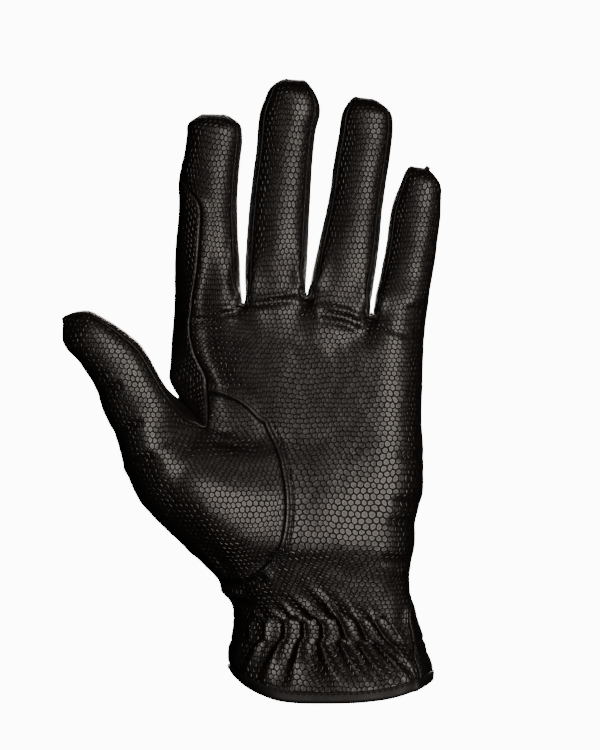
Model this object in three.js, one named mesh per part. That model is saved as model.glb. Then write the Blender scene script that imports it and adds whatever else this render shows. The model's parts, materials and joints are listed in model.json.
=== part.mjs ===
// A left-hand riding glove in embossed leather, standing open as on a hand.
// Its palm faces -Y, its fingers point up and its thumb points to -X.
// Millimetres, +Z up. The origin is the middle of the wrist opening, at the level of the hem's lowest point.
// It is sewn from flat-cut panels: a palm panel and a back panel that each take in one side of the fingers,
// a thumb in a front and a back half, a gusset between thumb and index finger, three fourchettes between
// the fingers, and a binding folded round the hem. Two rows of hidden elastic gather the wrist.
import * as THREE from "three";

// Driving sizes.
const palmLength = 150.5; // hem to finger crotches
const palmDepth = 30; // through the hand, palm to back
const wall = 1.2; // leather
const seamGap = 0.45; // between two panels that are sewn together
const crotchDrop = 3; // how far the back of a crotch lies below its front
const puckerHeight = 1.1; // the gathers stand out by this
const pinchDepth = 0.9; // and the elastic rows pull in by this
const bindingHeight = 3.5;
const bindingTape = 0.9;
const bindingClearance = 0.3;
const bindingCorner = 0.5;
const roundness = 2.5; // exponent of the rounded sections

// Fingers, from the thumb side. Width and depth are at the base. Lean is in degrees towards +X, and curl is
// how far the tip comes forward.
const indexFinger = { name: "index", width: 25.8, length: 72.6, depth: 20, lean: 1.5, curl: 9 };
const middleFinger = { name: "middle", width: 23.6, length: 84, depth: 20.5, lean: 5.3, curl: 10 };
const ringFinger = { name: "ring", width: 24.7, length: 79.5, depth: 19.5, lean: 6.7, curl: 9 };
const littleFinger = { name: "little", width: 21.3, length: 56, depth: 17.5, lean: 7.6, curl: 7 };
const thumb = { name: "thumb", width: 34.9, length: 60.9, depth: 24, lean: -40.4, curl: 9 };
const fingers = [indexFinger, middleFinger, ringFinger, littleFinger];
const palmWidth = fingers.reduce((sum, finger) => sum + finger.width, 0);

// Outline of each finger, seen from the palm. At is the share of its length, left and right are shares of
// its width from its axis, front and back are shares of its depth.
indexFinger.sections = [
  { at: 0.0, left: -0.5, right: 0.5, front: 0.56, back: 0.52 },
  { at: 0.1, left: -0.5178, right: 0.4594, front: 0.53, back: 0.49 },
  { at: 0.3, left: -0.5205, right: 0.4044, front: 0.51, back: 0.48 },
  { at: 0.5, left: -0.4939, right: 0.3663, front: 0.5, back: 0.46 },
  { at: 0.65, left: -0.5002, right: 0.3733, front: 0.49, back: 0.45 },
  { at: 0.8, left: -0.43, right: 0.4013, front: 0.46, back: 0.42 },
  { at: 0.89, left: -0.4039, right: 0.4196, front: 0.42, back: 0.37 },
  { at: 0.94, left: -0.3816, right: 0.3718, front: 0.35, back: 0.3 },
  { at: 0.975, left: -0.3129, right: 0.327, front: 0.23, back: 0.18 },
  { at: 1.0, left: -0.165, right: 0.185, front: 0, back: 0 },
];
middleFinger.sections = [
  { at: 0.0, left: -0.5, right: 0.5, front: 0.56, back: 0.52 },
  { at: 0.1, left: -0.5192, right: 0.4812, front: 0.53, back: 0.49 },
  { at: 0.3, left: -0.5442, right: 0.4425, front: 0.51, back: 0.48 },
  { at: 0.5, left: -0.5435, right: 0.4125, front: 0.5, back: 0.46 },
  { at: 0.7, left: -0.5215, right: 0.3975, front: 0.48, back: 0.44 },
  { at: 0.8, left: -0.5258, right: 0.4119, front: 0.46, back: 0.42 },
  { at: 0.87, left: -0.4965, right: 0.4518, front: 0.43, back: 0.38 },
  { at: 0.93, left: -0.4052, right: 0.3697, front: 0.35, back: 0.3 },
  { at: 0.975, left: -0.3364, right: 0.2668, front: 0.23, back: 0.18 },
  { at: 1.0, left: -0.2, right: 0.185, front: 0, back: 0 },
];
ringFinger.sections = [
  { at: 0.0, left: -0.5, right: 0.5, front: 0.56, back: 0.52 },
  { at: 0.1, left: -0.473, right: 0.5062, front: 0.53, back: 0.49 },
  { at: 0.3, left: -0.406, right: 0.5102, front: 0.51, back: 0.48 },
  { at: 0.5, left: -0.3429, right: 0.4973, front: 0.5, back: 0.46 },
  { at: 0.7, left: -0.329, right: 0.5143, front: 0.48, back: 0.44 },
  { at: 0.84, left: -0.2999, right: 0.5163, front: 0.45, back: 0.4 },
  { at: 0.9, left: -0.299, right: 0.5006, front: 0.4, back: 0.35 },
  { at: 0.945, left: -0.2327, right: 0.4247, front: 0.33, back: 0.28 },
  { at: 0.98, left: -0.2471, right: 0.356, front: 0.21, back: 0.17 },
  { at: 1.0, left: -0.17, right: 0.2, front: 0, back: 0 },
];
littleFinger.sections = [
  { at: 0.0, left: -0.5, right: 0.5, front: 0.56, back: 0.52 },
  { at: 0.12, left: -0.477, right: 0.4947, front: 0.53, back: 0.49 },
  { at: 0.3, left: -0.4197, right: 0.5067, front: 0.51, back: 0.48 },
  { at: 0.5, left: -0.3894, right: 0.5138, front: 0.5, back: 0.46 },
  { at: 0.68, left: -0.3888, right: 0.5044, front: 0.48, back: 0.44 },
  { at: 0.8, left: -0.3356, right: 0.4753, front: 0.45, back: 0.4 },
  { at: 0.88, left: -0.2806, right: 0.4441, front: 0.4, back: 0.34 },
  { at: 0.94, left: -0.2406, right: 0.34, front: 0.31, back: 0.26 },
  { at: 0.975, left: -0.2297, right: 0.2794, front: 0.2, back: 0.16 },
  { at: 1.0, left: -0.19, right: 0.16, front: 0, back: 0 },
];
// The thumb bends, so its outer (left) and inner (right) sides each have their own share along it.
thumb.sections = [
  { at: 0.0, leftAt: 0.05, left: -0.495, rightAt: -0.05, right: 0.495, front: 0.56, back: 0.52 },
  { at: 0.15, leftAt: 0.16, left: -0.4078, rightAt: 0.09, right: 0.46, front: 0.52, back: 0.5 },
  { at: 0.3, leftAt: 0.29, left: -0.305, rightAt: 0.24, right: 0.4465, front: 0.48, back: 0.47 },
  { at: 0.45, leftAt: 0.42, left: -0.2536, rightAt: 0.41, right: 0.4943, front: 0.45, back: 0.44 },
  { at: 0.6, leftAt: 0.56, left: -0.1507, rightAt: 0.58, right: 0.5358, front: 0.42, back: 0.42 },
  { at: 0.75, leftAt: 0.69, left: -0.1071, rightAt: 0.74, right: 0.4929, front: 0.39, back: 0.38 },
  { at: 0.87, leftAt: 0.8, left: -0.0921, rightAt: 0.88, right: 0.42, front: 0.34, back: 0.32 },
  { at: 0.95, leftAt: 0.885, left: -0.1036, rightAt: 1.0, right: 0.3029, front: 0.22, back: 0.2 },
  { at: 1.0, leftAt: 0.935, left: -0.075, rightAt: 1.06, right: 0.09, front: 0, back: 0 },
];

// The hand's outline, seen from the palm, from the hem up. Across is a share of palmWidth from the origin, up
// a share of palmLength. Left is the thumb side's outer edge, web the line down from the thumb crotch, seam
// the curved seam that sets the thumb in, and right the little finger's side. Steps is the number of rows up
// to the next section. The back's web line leaves the front's below the thumb crotch and has its own columns.
// Arch bends the seam over the top of the thumb's mound. SideSeam is how far the seam on the little finger's
// side has come round to the front of the cuff.
const outline = [
  { name: "hem", left: -0.391, leftUp: 0.076, web: -0.225,
    seam: -0.083, right: 0.405, rightUp: 0.058, midUp: 0.008, sideSeam: 0.056 },
  { name: "flare", left: -0.4071, leftUp: 0.1, web: -0.225,
    seam: -0.082, right: 0.403, rightUp: 0.088, midUp: 0.043, sideSeam: 0.055 },
  { name: "ruffle", left: -0.4043, leftUp: 0.13, web: -0.225,
    seam: -0.083, right: 0.384, rightUp: 0.12, midUp: 0.085, sideSeam: 0.053 },
  { name: "ruffle_top", left: -0.3983, leftUp: 0.147, web: -0.225,
    seam: -0.088, right: 0.3764, rightUp: 0.14, midUp: 0.12, sideSeam: 0.05 },
  { name: "low_elastic", left: -0.3943, leftUp: 0.157, web: -0.228,
    seam: -0.096, right: 0.371, rightUp: 0.155, midUp: 0.15, sideSeam: 0.048 },
  { name: "between", left: -0.3884, leftUp: 0.18, web: -0.226,
    seam: -0.098, right: 0.3585, rightUp: 0.18, midUp: 0.18, sideSeam: 0.043 },
  { name: "high_elastic", left: -0.3864, leftUp: 0.207, web: -0.228,
    seam: -0.102, right: 0.345, rightUp: 0.21, midUp: 0.207, sideSeam: 0.037 },
  { name: "wrist", left: -0.394, leftUp: 0.243, web: -0.262,
    seam: -0.135, right: 0.332, rightUp: 0.243, midUp: 0.243, sideSeam: 0.018 },
  { name: "roll", left: -0.4351, leftUp: 0.277, web: -0.315,
    seam: -0.185, right: 0.3156, rightUp: 0.28, midUp: 0.29, sideSeam: 0 },
];
const cuffRows = outline.length;
outline.push(
  { name: "thumb_foot", left: -0.4509, leftUp: 0.303, web: -0.34, webUp: 0.302,
    seam: -0.235, seamUp: 0.358, right: 0.3128, rightUp: 0.315, steps: 2 },
  { name: "heel", left: -0.5578, leftUp: 0.374, web: -0.418, webUp: 0.391,
    seam: -0.203, seamUp: 0.396, right: 0.334, rightUp: 0.391, steps: 2 },
  { name: "mound", left: -0.6637, leftUp: 0.439, web: -0.486, webUp: 0.477, backWeb: -0.49, backWebUp: 0.48,
    seam: -0.183, seamUp: 0.457, right: 0.3376, rightUp: 0.455, steps: 2 },
  { name: "mound_top", left: -0.75, leftUp: 0.497, web: -0.522, webUp: 0.558, backWeb: -0.53,
    backWebUp: 0.575, seam: -0.183, seamUp: 0.53, right: 0.3662, rightUp: 0.53, steps: 2 },
  { name: "web", left: -0.7907, leftUp: 0.545, web: -0.51, webUp: 0.641, backWeb: -0.575, backWebUp: 0.68,
    seam: -0.207, seamUp: 0.611, right: 0.367, rightUp: 0.612, steps: 1 },
  { name: "thumb_crotch", left: -0.808, leftUp: 0.571, web: -0.494, webUp: 0.689, backWeb: -0.612,
    backWebUp: 0.762, seam: -0.235, seamUp: 0.657, right: 0.3662, rightUp: 0.657, steps: 1 },
  { name: "seam_top", web: -0.49, webUp: 0.778, backWeb: -0.592, backWebUp: 0.805,
    seam: -0.267, seamUp: 0.697, right: 0.3611, rightUp: 0.7, arch: 0.02, steps: 1 },
  { name: "hollow", web: -0.494, webUp: 0.813, backWeb: -0.592, backWebUp: 0.84,
    seam: -0.275, seamUp: 0.752, right: 0.3632, rightUp: 0.748, steps: 2 },
  { name: "pads", web: -0.542, webUp: 0.874, backWeb: -0.592, backWebUp: 0.885,
    seam: -0.307, seamUp: 0.846, right: 0.3662, rightUp: 0.841, steps: 2 },
  { name: "pads_top", web: -0.562, webUp: 0.937, backWeb: -0.592, backWebUp: 0.94,
    seam: -0.331, seamUp: 0.932, right: 0.3723, rightUp: 0.922, steps: 1 },
  { name: "finger_base", web: -0.554, webUp: 0.99, backWeb: -0.588, backWebUp: 0.97,
    seam: -0.39, seamUp: 0.998, right: 0.3804, rightUp: 0.98, steps: 0 },
);
const crotches = [{ up: 1.0 }, { up: 1.018 }, { up: 0.972 }]; // between two fingers, shares of palmLength
const palmLeft = -0.6175; // the index finger's outer edge at its base, a share of palmWidth
const gussetLeft = [-0.6, -0.626, -0.628, -0.627, -0.625, -0.6175]; // outer edge from the thumb crotch up

// How far each section reaches to the front, and then to the back, in shares of palmDepth. Side is the outer
// edge's own place, crest the thumb mound, then the web, the thumb seam, the palm's hollow and its outer pad.
const relief = [
  { side: 0, crest: 0.72, web: 0.77, seam: 0.79, hollow: 0.8, pad: 0.76 },
  { side: 0, crest: 0.68, web: 0.73, seam: 0.75, hollow: 0.76, pad: 0.72 },
  { side: 0, crest: 0.64, web: 0.68, seam: 0.69, hollow: 0.695, pad: 0.66 },
  { side: 0, crest: 0.6, web: 0.635, seam: 0.635, hollow: 0.635, pad: 0.6 },
  { side: 0, crest: 0.575, web: 0.6, seam: 0.595, hollow: 0.58, pad: 0.545 },
  { side: 0, crest: 0.56, web: 0.575, seam: 0.56, hollow: 0.54, pad: 0.5 },
  { side: 0, crest: 0.55, web: 0.565, seam: 0.548, hollow: 0.525, pad: 0.48 },
  { side: 0.01, crest: 0.55, web: 0.585, seam: 0.588, hollow: 0.56, pad: 0.505 },
  { side: 0.05, crest: 0.58, web: 0.62, seam: 0.645, hollow: 0.61, pad: 0.54 },
  { side: 0.13, crest: 0.615, web: 0.65, seam: 0.72, hollow: 0.668, pad: 0.578 },
  { side: 0.27, crest: 0.745, web: 0.805, seam: 0.77, hollow: 0.712, pad: 0.62 },
  { side: 0.37, crest: 0.87, web: 0.91, seam: 0.762, hollow: 0.7, pad: 0.61 },
  { side: 0.43, crest: 0.92, web: 0.92, seam: 0.7, hollow: 0.65, pad: 0.585 },
  { side: 0.48, crest: 0.94, web: 0.75, seam: 0.59, hollow: 0.57, pad: 0.555 },
  { side: 0.5, crest: 0.92, web: 0.57, seam: 0.515, hollow: 0.52, pad: 0.535 },
  { web: 0.4, seam: 0.485, hollow: 0.495, pad: 0.515 },
  { web: 0.37, seam: 0.455, hollow: 0.48, pad: 0.505 },
  { web: 0.37, seam: 0.45, hollow: 0.465, pad: 0.49 },
  { web: 0.39, seam: 0.47, hollow: 0.48, pad: 0.475 },
  { web: 0.38, seam: 0.45, hollow: 0.45, pad: 0.43 },
];
const backRelief = [
  { crest: 0.62, web: 0.68, back: 0.73 },
  { crest: 0.61, web: 0.67, back: 0.72 },
  { crest: 0.6, web: 0.66, back: 0.7 },
  { crest: 0.59, web: 0.65, back: 0.68 },
  { crest: 0.58, web: 0.63, back: 0.67 },
  { crest: 0.57, web: 0.62, back: 0.66 },
  { crest: 0.56, web: 0.61, back: 0.65 },
  { crest: 0.54, web: 0.6, back: 0.64 },
  { crest: 0.51, web: 0.58, back: 0.62 },
  { crest: 0.46, web: 0.55, back: 0.6 },
  { crest: 0.34, web: 0.46, back: 0.55 },
  { crest: 0.22, web: 0.37, back: 0.52 },
  { crest: 0.1, web: 0.25, back: 0.5 },
  { crest: 0, web: 0.08, back: 0.49 },
  { crest: -0.06, web: -0.1, back: 0.485 },
  { web: 0.25, back: 0.48 },
  { web: 0.3, back: 0.475 },
  { web: 0.3, back: 0.47 },
  { web: 0.3, back: 0.455 },
  { web: 0.3, back: 0.44 },
];
// Which way the gathers stand on each cuff row: 1 and -1 are half a gather apart. Pinch is the elastic's
// pull.
const gathers = {
  ruffle: { pucker: -0.8, pinch: 0 },
  ruffle_top: { pucker: -1, pinch: 0 },
  low_elastic: { pucker: 0, pinch: 1 },
  between: { pucker: 1, pinch: 0.2 },
  high_elastic: { pucker: 0, pinch: 1 },
  wrist: { pucker: -0.6, pinch: 0 },
};

// Columns of the skin, from the left seam to the right seam.
const thumbColumns = 5; // left edge to web
const webColumns = 4; // web to thumb seam
const seamColumn = thumbColumns + webColumns;
const palmColumns = 18; // web to right edge
const rightColumn = thumbColumns + palmColumns;
const hollowColumn = 14;
const padColumn = 19;
const crestColumn = 3;
const crotchColumns = [5, 9, 13]; // counted from the web
const sideColumns = 3; // across a fourchette or the gusset
const digitRows = { index: 15, middle: 15, ring: 15, little: 12, thumb: 12 };
const ringCrowding = 0.055; // the rings of a digit lie closer together at its base and its tip
const edgeShares = [0, 0.08, 0.27, 0.5, 0.75, 1]; // closer where the leather turns round the outer edge
const edgeReach = 0.035; // the last column on the right, as a share of the palm's part of the row
const roundReach = 0.2; // the outer edges are rounded over this share of palmWidth
const cuffMiddle = -0.05; // a cuff row rises from here to both of its ends, by this power
const cuffRise = 3;

const lerp = THREE.MathUtils.lerp;
const clamp = THREE.MathUtils.clamp;
const radians = THREE.MathUtils.degToRad;
const rounded = (share) => (1 - clamp(share, 0, 1) ** roundness) ** (1 / roundness);
const bulge = (v) => Math.sign(v) * Math.abs(v) ** (2 / roundness);

// A smooth curve through the points (places[i], values[i]).
function through(places, values, place) {
  const last = places.length - 1;
  const p = clamp(place, places[0], places[last]);
  let i = 0;
  while (i < last - 1 && p > places[i + 1]) i += 1;
  const slope = (k) => {
    const a = Math.max(0, k - 1);
    const b = Math.min(last, k + 1);
    return (values[b] - values[a]) / (places[b] - places[a]);
  };
  const span = places[i + 1] - places[i];
  const u = (p - places[i]) / span;
  const h = u * u * (3 - 2 * u);
  const start = u * (1 - u) * (1 - u) * span * slope(i);
  const end = u * u * (u - 1) * span * slope(i + 1);
  return lerp(values[i], values[i + 1], h) + start + end;
}

// One named column of a table, read between its rows.
function column(table, key, place) {
  const rows = table.map((row, i) => [i, row[key]]).filter(([, value]) => value !== undefined);
  return through(rows.map(([i]) => i), rows.map(([, value]) => value), place);
}

// The places in the tables at which the skin has a row.
const rowPlaces = [];
outline.forEach((section, i) => {
  const steps = i < cuffRows ? 1 : section.steps;
  for (let k = 0; k < steps; k += 1) rowPlaces.push(i + k / steps);
});
rowPlaces.push(outline.length - 1);
const rowOf = (name) => rowPlaces.indexOf(outline.findIndex((section) => section.name === name));
const footRow = rowOf("thumb_foot");
const crotchRow = rowOf("thumb_crotch");
const seamTopRow = rowOf("seam_top");
const topRow = rowPlaces.length - 1;

const fingerLeft = fingers.map((finger, i) =>
  fingers.slice(0, i).reduce((x, f) => x + f.width, palmLeft * palmWidth),
);
const rightEdge = palmLeft * palmWidth + palmWidth;

// Across and up of each column of a row, in millimetres, for the front or the back of the hand.
function rowPoints(place, back) {
  const value = (key) => column(outline, key, place);
  const hasThumb = place <= crotchPlace;
  const ownBack = back && place >= backPlace;
  const web = ownBack ? corner(value, "backWeb") : corner(value, "web");
  const inset = sideInset(place);
  const [outer, rightUp] = corner(value, "right");
  const right = [back ? outer : outer - inset, rightUp];
  const lastShare = back && inset ? 1 : 1 - edgeReach;
  const start = back ? web : corner(value, "seam");
  const first = back ? thumbColumns : seamColumn;
  const points = [];
  for (let c = 0; c <= rightColumn; c += 1) {
    if (c < thumbColumns) {
      points.push(hasThumb ? between(corner(value, "left"), web, edgeShares[c]) : null);
    } else if (c < first) {
      const share = (c - thumbColumns) / webColumns;
      const point = between(web, start, share);
      point[1] += Math.sin(Math.PI * share) * (outline[Math.round(place)].arch ?? 0) * palmLength;
      points.push(point);
    } else {
      const even = (c - first) / (rightColumn - first - 1);
      points.push(between(start, right, c === rightColumn ? 1 : even * lastShare));
    }
  }
  return place < cuffRows ? risen(points, value) : points;
}
const sideInset = (place) => (outline[place]?.sideSeam ?? 0) * palmWidth;
const corner = (value, key) => [value(key) * palmWidth, value(`${key}Up`) * palmLength];
const between = (from, to, share) => [lerp(from[0], to[0], share), lerp(from[1], to[1], share)];
// A cuff row is lowest in the middle and rises to both ends.
function risen(points, value) {
  const middle = cuffMiddle * palmWidth;
  return points.map(([x]) => {
    const key = x < middle ? "left" : "right";
    const [endX, endUp] = corner(value, key);
    const share = clamp((x - middle) / (endX - middle), 0, 1);
    return [x, lerp(value("midUp") * palmLength, endUp, share ** cuffRise)];
  });
}
const backPlace = outline.findIndex((section) => section.name === "mound");
const crotchPlace = outline.findIndex((section) => section.name === "thumb_crotch");

// How far forward the front of a row reaches, and how far back its back does.
function frontDepth(place, c, across, ends) {
  const value = (key) => column(relief, key, place) * palmDepth;
  const hasThumb = place <= crotchPlace;
  const places = [thumbColumns, seamColumn, hollowColumn, padColumn, rightColumn];
  const depths = [value("web"), value("seam"), value("hollow"), value("pad"), value("pad")];
  const right = rounded(1 - (ends[1] - across) / (roundReach * palmWidth));
  if (!hasThumb) return through(places, depths, c) * right;
  const side = value("side");
  const reach = through([0, crestColumn, ...places], [value("crest"), value("crest"), ...depths], c);
  const left = rounded(1 - (across - ends[0]) / (roundReach * palmWidth));
  return (side + (reach - side) * left) * right;
}
function backDepth(place, c, across, ends) {
  const value = (key) => column(backRelief, key, place) * palmDepth;
  const hasThumb = place <= crotchPlace;
  const places = [thumbColumns, seamColumn, rightColumn];
  const depths = [value("web"), value("back"), value("back")];
  const right = rounded(1 - (ends[1] - across) / (roundReach * palmWidth));
  if (!hasThumb) return through(places, depths, c) * right;
  const side = -column(relief, "side", place) * palmDepth;
  const reach = through([0, crestColumn, ...places], [value("crest"), value("crest"), ...depths], c);
  const left = rounded(1 - (across - ends[0]) / (roundReach * palmWidth));
  return lerp(side, reach, left) * right;
}

// The hand's skin: a front and a back point for each row and column. They share the seams at both edges.
const front = [];
const back = [];
rowPlaces.forEach((place, r) => {
  const hasThumb = r <= crotchRow;
  const frontPoints = rowPoints(place, false);
  const backPoints = rowPoints(place, true);
  if (r === topRow) setFingerBases(frontPoints, backPoints);
  const first = hasThumb ? 0 : thumbColumns;
  const ends = [frontPoints[first][0], frontPoints[rightColumn][0] + sideInset(place)];
  front.push(
    frontPoints.map((p, c) => {
      if (!p) return null;
      return new THREE.Vector3(p[0], -frontDepth(place, c, p[0], ends), p[1]);
    }),
  );
  back.push(
    backPoints.map((p, c) => {
      if (!p) return null;
      if (c === rightColumn || (c === 0 && hasThumb)) return front[r][c];
      return new THREE.Vector3(p[0], backDepth(place, c, p[0], ends), p[1]);
    }),
  );
});

// On the top row each finger has its own stretch, and the crotches lie where neighbouring fingers meet.
function setFingerBases(frontPoints, backPoints) {
  const crotchUp = crotches.map((crotch) => crotch.up * palmLength);
  const marks = crotchColumns.map((c, i) => [thumbColumns + c, fingerLeft[i + 1], crotchUp[i]]);
  marks.push([rightColumn, rightEdge, frontPoints[rightColumn][1]]);
  [frontPoints, backPoints].forEach((points, isBack) => {
    let [c0, x0, z0] = [thumbColumns, points[thumbColumns][0], points[thumbColumns][1]];
    for (const [c1, x1, z1] of marks) {
      for (let c = c0 + 1; c <= c1; c += 1) {
        let share = (c - c0) / (c1 - c0);
        if (c1 === rightColumn && c < c1) share *= 1.15;
        const nearCrotch = crotchColumns.some((k) => Math.abs(thumbColumns + k - c) < 2);
        const drop = isBack && nearCrotch ? crotchDrop : 0;
        points[c] = [lerp(x0, x1, share), lerp(z0, z1, (c - c0) / (c1 - c0)) - drop];
      }
      [c0, x0, z0] = [c1, x1, z1];
    }
  });
}

// The gusset on the hand's thumb side, from the thumb crotch up: front seam, two points round the edge, and
// back seam.
const gusset = [];
for (let r = crotchRow; r <= topRow; r += 1) {
  const from = front[r][thumbColumns];
  const share = (r - crotchRow) / (topRow - crotchRow);
  const edge = through(gussetLeft.map((_, i) => i / (gussetLeft.length - 1)), gussetLeft, share) * palmWidth;
  const to = back[r][thumbColumns];
  const points = [from];
  for (let k = 1; k < sideColumns; k += 1) {
    const point = from.clone().lerp(to, k / sideColumns);
    if (r > crotchRow) point.x = edge;
    points.push(point);
  }
  points.push(to);
  gusset.push(points);
}

// The lines across the crotches between the fingers, front to back.
const crotchLines = crotchColumns.map((c) => {
  const from = front[topRow][thumbColumns + c];
  const to = back[topRow][thumbColumns + c];
  const points = [from];
  for (let k = 1; k < sideColumns; k += 1) points.push(from.clone().lerp(to, k / sideColumns));
  points.push(to);
  return points;
});

// Degrees round a digit, from its front, positive to the right, for the columns of one strip.
const spread = (from, to, count) => Array.from({ length: count + 1 }, (_, i) => lerp(from, to, i / count));
const cornerAngle = 50; // the seams beside a fourchette
const openSide = 90; // the seam where front and back meet with no fourchette

// A digit's rings. Base holds its ring on the hand: front and back points left to right, and the points
// between them on each side. A side with no points between front and back is a plain seam.
function digit(spec, base, angles) {
  const lean = radians(spec.lean);
  const along = new THREE.Vector3(Math.sin(lean), 0, Math.cos(lean));
  const across = new THREE.Vector3(Math.cos(lean), 0, -Math.sin(lean));
  const ends = [base.front[0], base.front[base.front.length - 1]];
  const leftEnd = base.leftEnd ?? ends[0];
  const middle = leftEnd.clone().add(ends[1]).multiplyScalar(0.5);
  const baseY = (Math.max(...base.back.map((p) => p.y)) + Math.min(...base.front.map((p) => p.y))) / 2;
  const places = spec.sections.map((section) => section.at);
  const value = (key, at) => through(places, spec.sections.map((section) => section[key] ?? section.at), at);
  const own = (angle, at) => {
    const side = bulge(Math.sin(radians(angle)));
    const ahead = bulge(Math.cos(radians(angle)));
    const left = value("left", at) * spec.width;
    const right = value("right", at) * spec.width;
    const reach = lerp(value("leftAt", at), value("rightAt", at), (side + 1) / 2) * spec.length;
    const depth = (ahead > 0 ? value("front", at) : value("back", at)) * spec.depth;
    return { along: reach, across: (left + right) / 2 + ((right - left) / 2) * side, y: -depth * ahead };
  };
  const rings = [base];
  const rows = digitRows[spec.name];
  for (let i = 1; i <= rows; i += 1) {
    const at = i / rows - ringCrowding * Math.sin((2 * Math.PI * i) / rows);
    const sideways = THREE.MathUtils.smoothstep(at, 0, 0.12);
    const deepways = THREE.MathUtils.smoothstep(at, 0, 0.35);
    const forward = spec.curl * at ** 1.5;
    const point = (from, angle) => {
      const offset = from.clone().sub(middle);
      const here = own(angle, at);
      const start = own(angle, 0);
      const up = here.along + (offset.dot(along) - start.along) * (1 - at) ** 2;
      const sidewise = lerp(offset.dot(across), here.across, sideways);
      const y = lerp(from.y, baseY + here.y, deepways) - forward;
      return middle.clone().addScaledVector(along, up).addScaledVector(across, sidewise).setY(y);
    };
    const strip = (points, degrees) => points.map((p, k) => point(p, degrees[k]));
    const set = angles(at);
    const ring = { at, front: strip(base.front, set.front), back: strip(base.back, set.back) };
    if (i === rows) ring.back = closeTip(ring);
    if (set.front[0] === -openSide) ring.back[0] = ring.front[0];
    if (set.front.at(-1) === openSide) ring.back[ring.back.length - 1] = ring.front.at(-1);
    const atTip = i === rows;
    const rightAngles = [set.front.at(-1), set.back.at(-1) + 360];
    const leftAngles = [set.front[0], set.back[0]];
    ring.right = side(base.right, ring.front.at(-1), ring.back.at(-1), rightAngles, point, atTip);
    ring.left = side(base.left, ring.front[0], ring.back[0], leftAngles, point, atTip);
    rings.push(ring);
  }
  return rings;
}
// At the tip the front and the back are sewn to each other, so they share one line of points.
function closeTip(ring) {
  ring.front.forEach((p, k) => p.lerp(ring.back[k], 0.5));
  return [...ring.front];
}
function side(basePoints, from, to, angles, point, atTip) {
  if (!basePoints || from === to) return atTip && basePoints ? basePoints.map(() => from) : null;
  const last = basePoints.length - 1;
  return basePoints.map((p, k) => {
    if (k === 0) return from;
    if (k === last) return to;
    return point(p, lerp(angles[0], angles[1], k / last));
  });
}

// The gusset ends in a rounded tongue on the outside of the index finger, where its two seams run together.
const tongue = [
  { at: 0, front: -28, back: -150 },
  { at: 0.1, front: -20, back: -152 },
  { at: 0.22, front: -13, back: -152 },
  { at: 0.41, front: -9, back: -148 },
  { at: 0.52, front: -12, back: -142 },
  { at: 0.585, front: -24, back: -130 },
  { at: 0.63, front: -52, back: -112 },
  { at: 0.66, front: -90, back: -90 },
];
const gussetEnd = tongue.at(-1).at;
const plainAngles = () => ({
  front: spread(-cornerAngle, cornerAngle, 4),
  back: spread(cornerAngle - 180, -180 - cornerAngle, 4),
});
const indexAngles = (at) => {
  const seam = (key) => through(tongue.map((row) => row.at), tongue.map((row) => row[key]), at);
  return { front: spread(seam("front"), cornerAngle, 5), back: spread(seam("back"), -180 - cornerAngle, 5) };
};
const littleAngles = () => ({
  front: spread(-cornerAngle, openSide, 5),
  back: spread(cornerAngle - 180, -180 - openSide, 5),
});
const thumbAngles = () => ({
  front: spread(-openSide, cornerAngle, 5),
  back: spread(-openSide, -180 - cornerAngle, 5),
});

const palmSlice = (row, from, to) => row.slice(thumbColumns + from, thumbColumns + to + 1);
const bounds = [0, ...crotchColumns, palmColumns];
const fingerAngles = [indexAngles, plainAngles, plainAngles, littleAngles];
const fingerRings = fingers.map((spec, i) => {
  const base = {
    at: 0,
    front: palmSlice(front[topRow], bounds[i], bounds[i + 1]),
    back: palmSlice(back[topRow], bounds[i], bounds[i + 1]),
    left: i === 0 ? gusset.at(-1) : crotchLines[i - 1],
    right: i === 3 ? null : crotchLines[i],
  };
  if (i === 0) base.leftEnd = new THREE.Vector3(palmLeft * palmWidth, base.front[0].y, base.front[0].z);
  return digit(spec, base, fingerAngles[i]);
});
const thumbRings = digit(
  thumb,
  {
    at: 0,
    front: front[crotchRow].slice(0, thumbColumns + 1),
    back: back[crotchRow].slice(0, thumbColumns + 1),
    left: null,
    right: gusset[0],
  },
  thumbAngles,
);

// The panels: each is a list of grids, rows from the bottom up, points left to right as seen from outside.
const reversed = (row) => [...row].reverse();
const cut = (rows, from, to, c0, c1) => rows.slice(from, to + 1).map((row) => row.slice(c0, c1 + 1));
const cutBack = (rows, from, to, c0, c1) => cut(rows, from, to, c0, c1).map(reversed);
const strips = (rings, key) => rings.map((ring) => ring[key]).filter(Boolean);

// The fourchette between two fingers runs up the left one's right side and the right one's left side.
function fourchette(leftFinger, rightFinger) {
  return [strips(leftFinger, "right"), strips(rightFinger, "left").map(reversed)];
}
// Where the gusset has come to its point, the index finger's own front and back are sewn together.
const gussetRings = fingerRings[0].filter((ring) => ring.left && ring.at < gussetEnd);
const apexRing = fingerRings[0][gussetRings.length];
const gussetTip = gussetRings[0].left.map(() => apexRing.front[0]);
const gussetOnIndex = [...gussetRings.map((ring) => ring.left), gussetTip];

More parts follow.
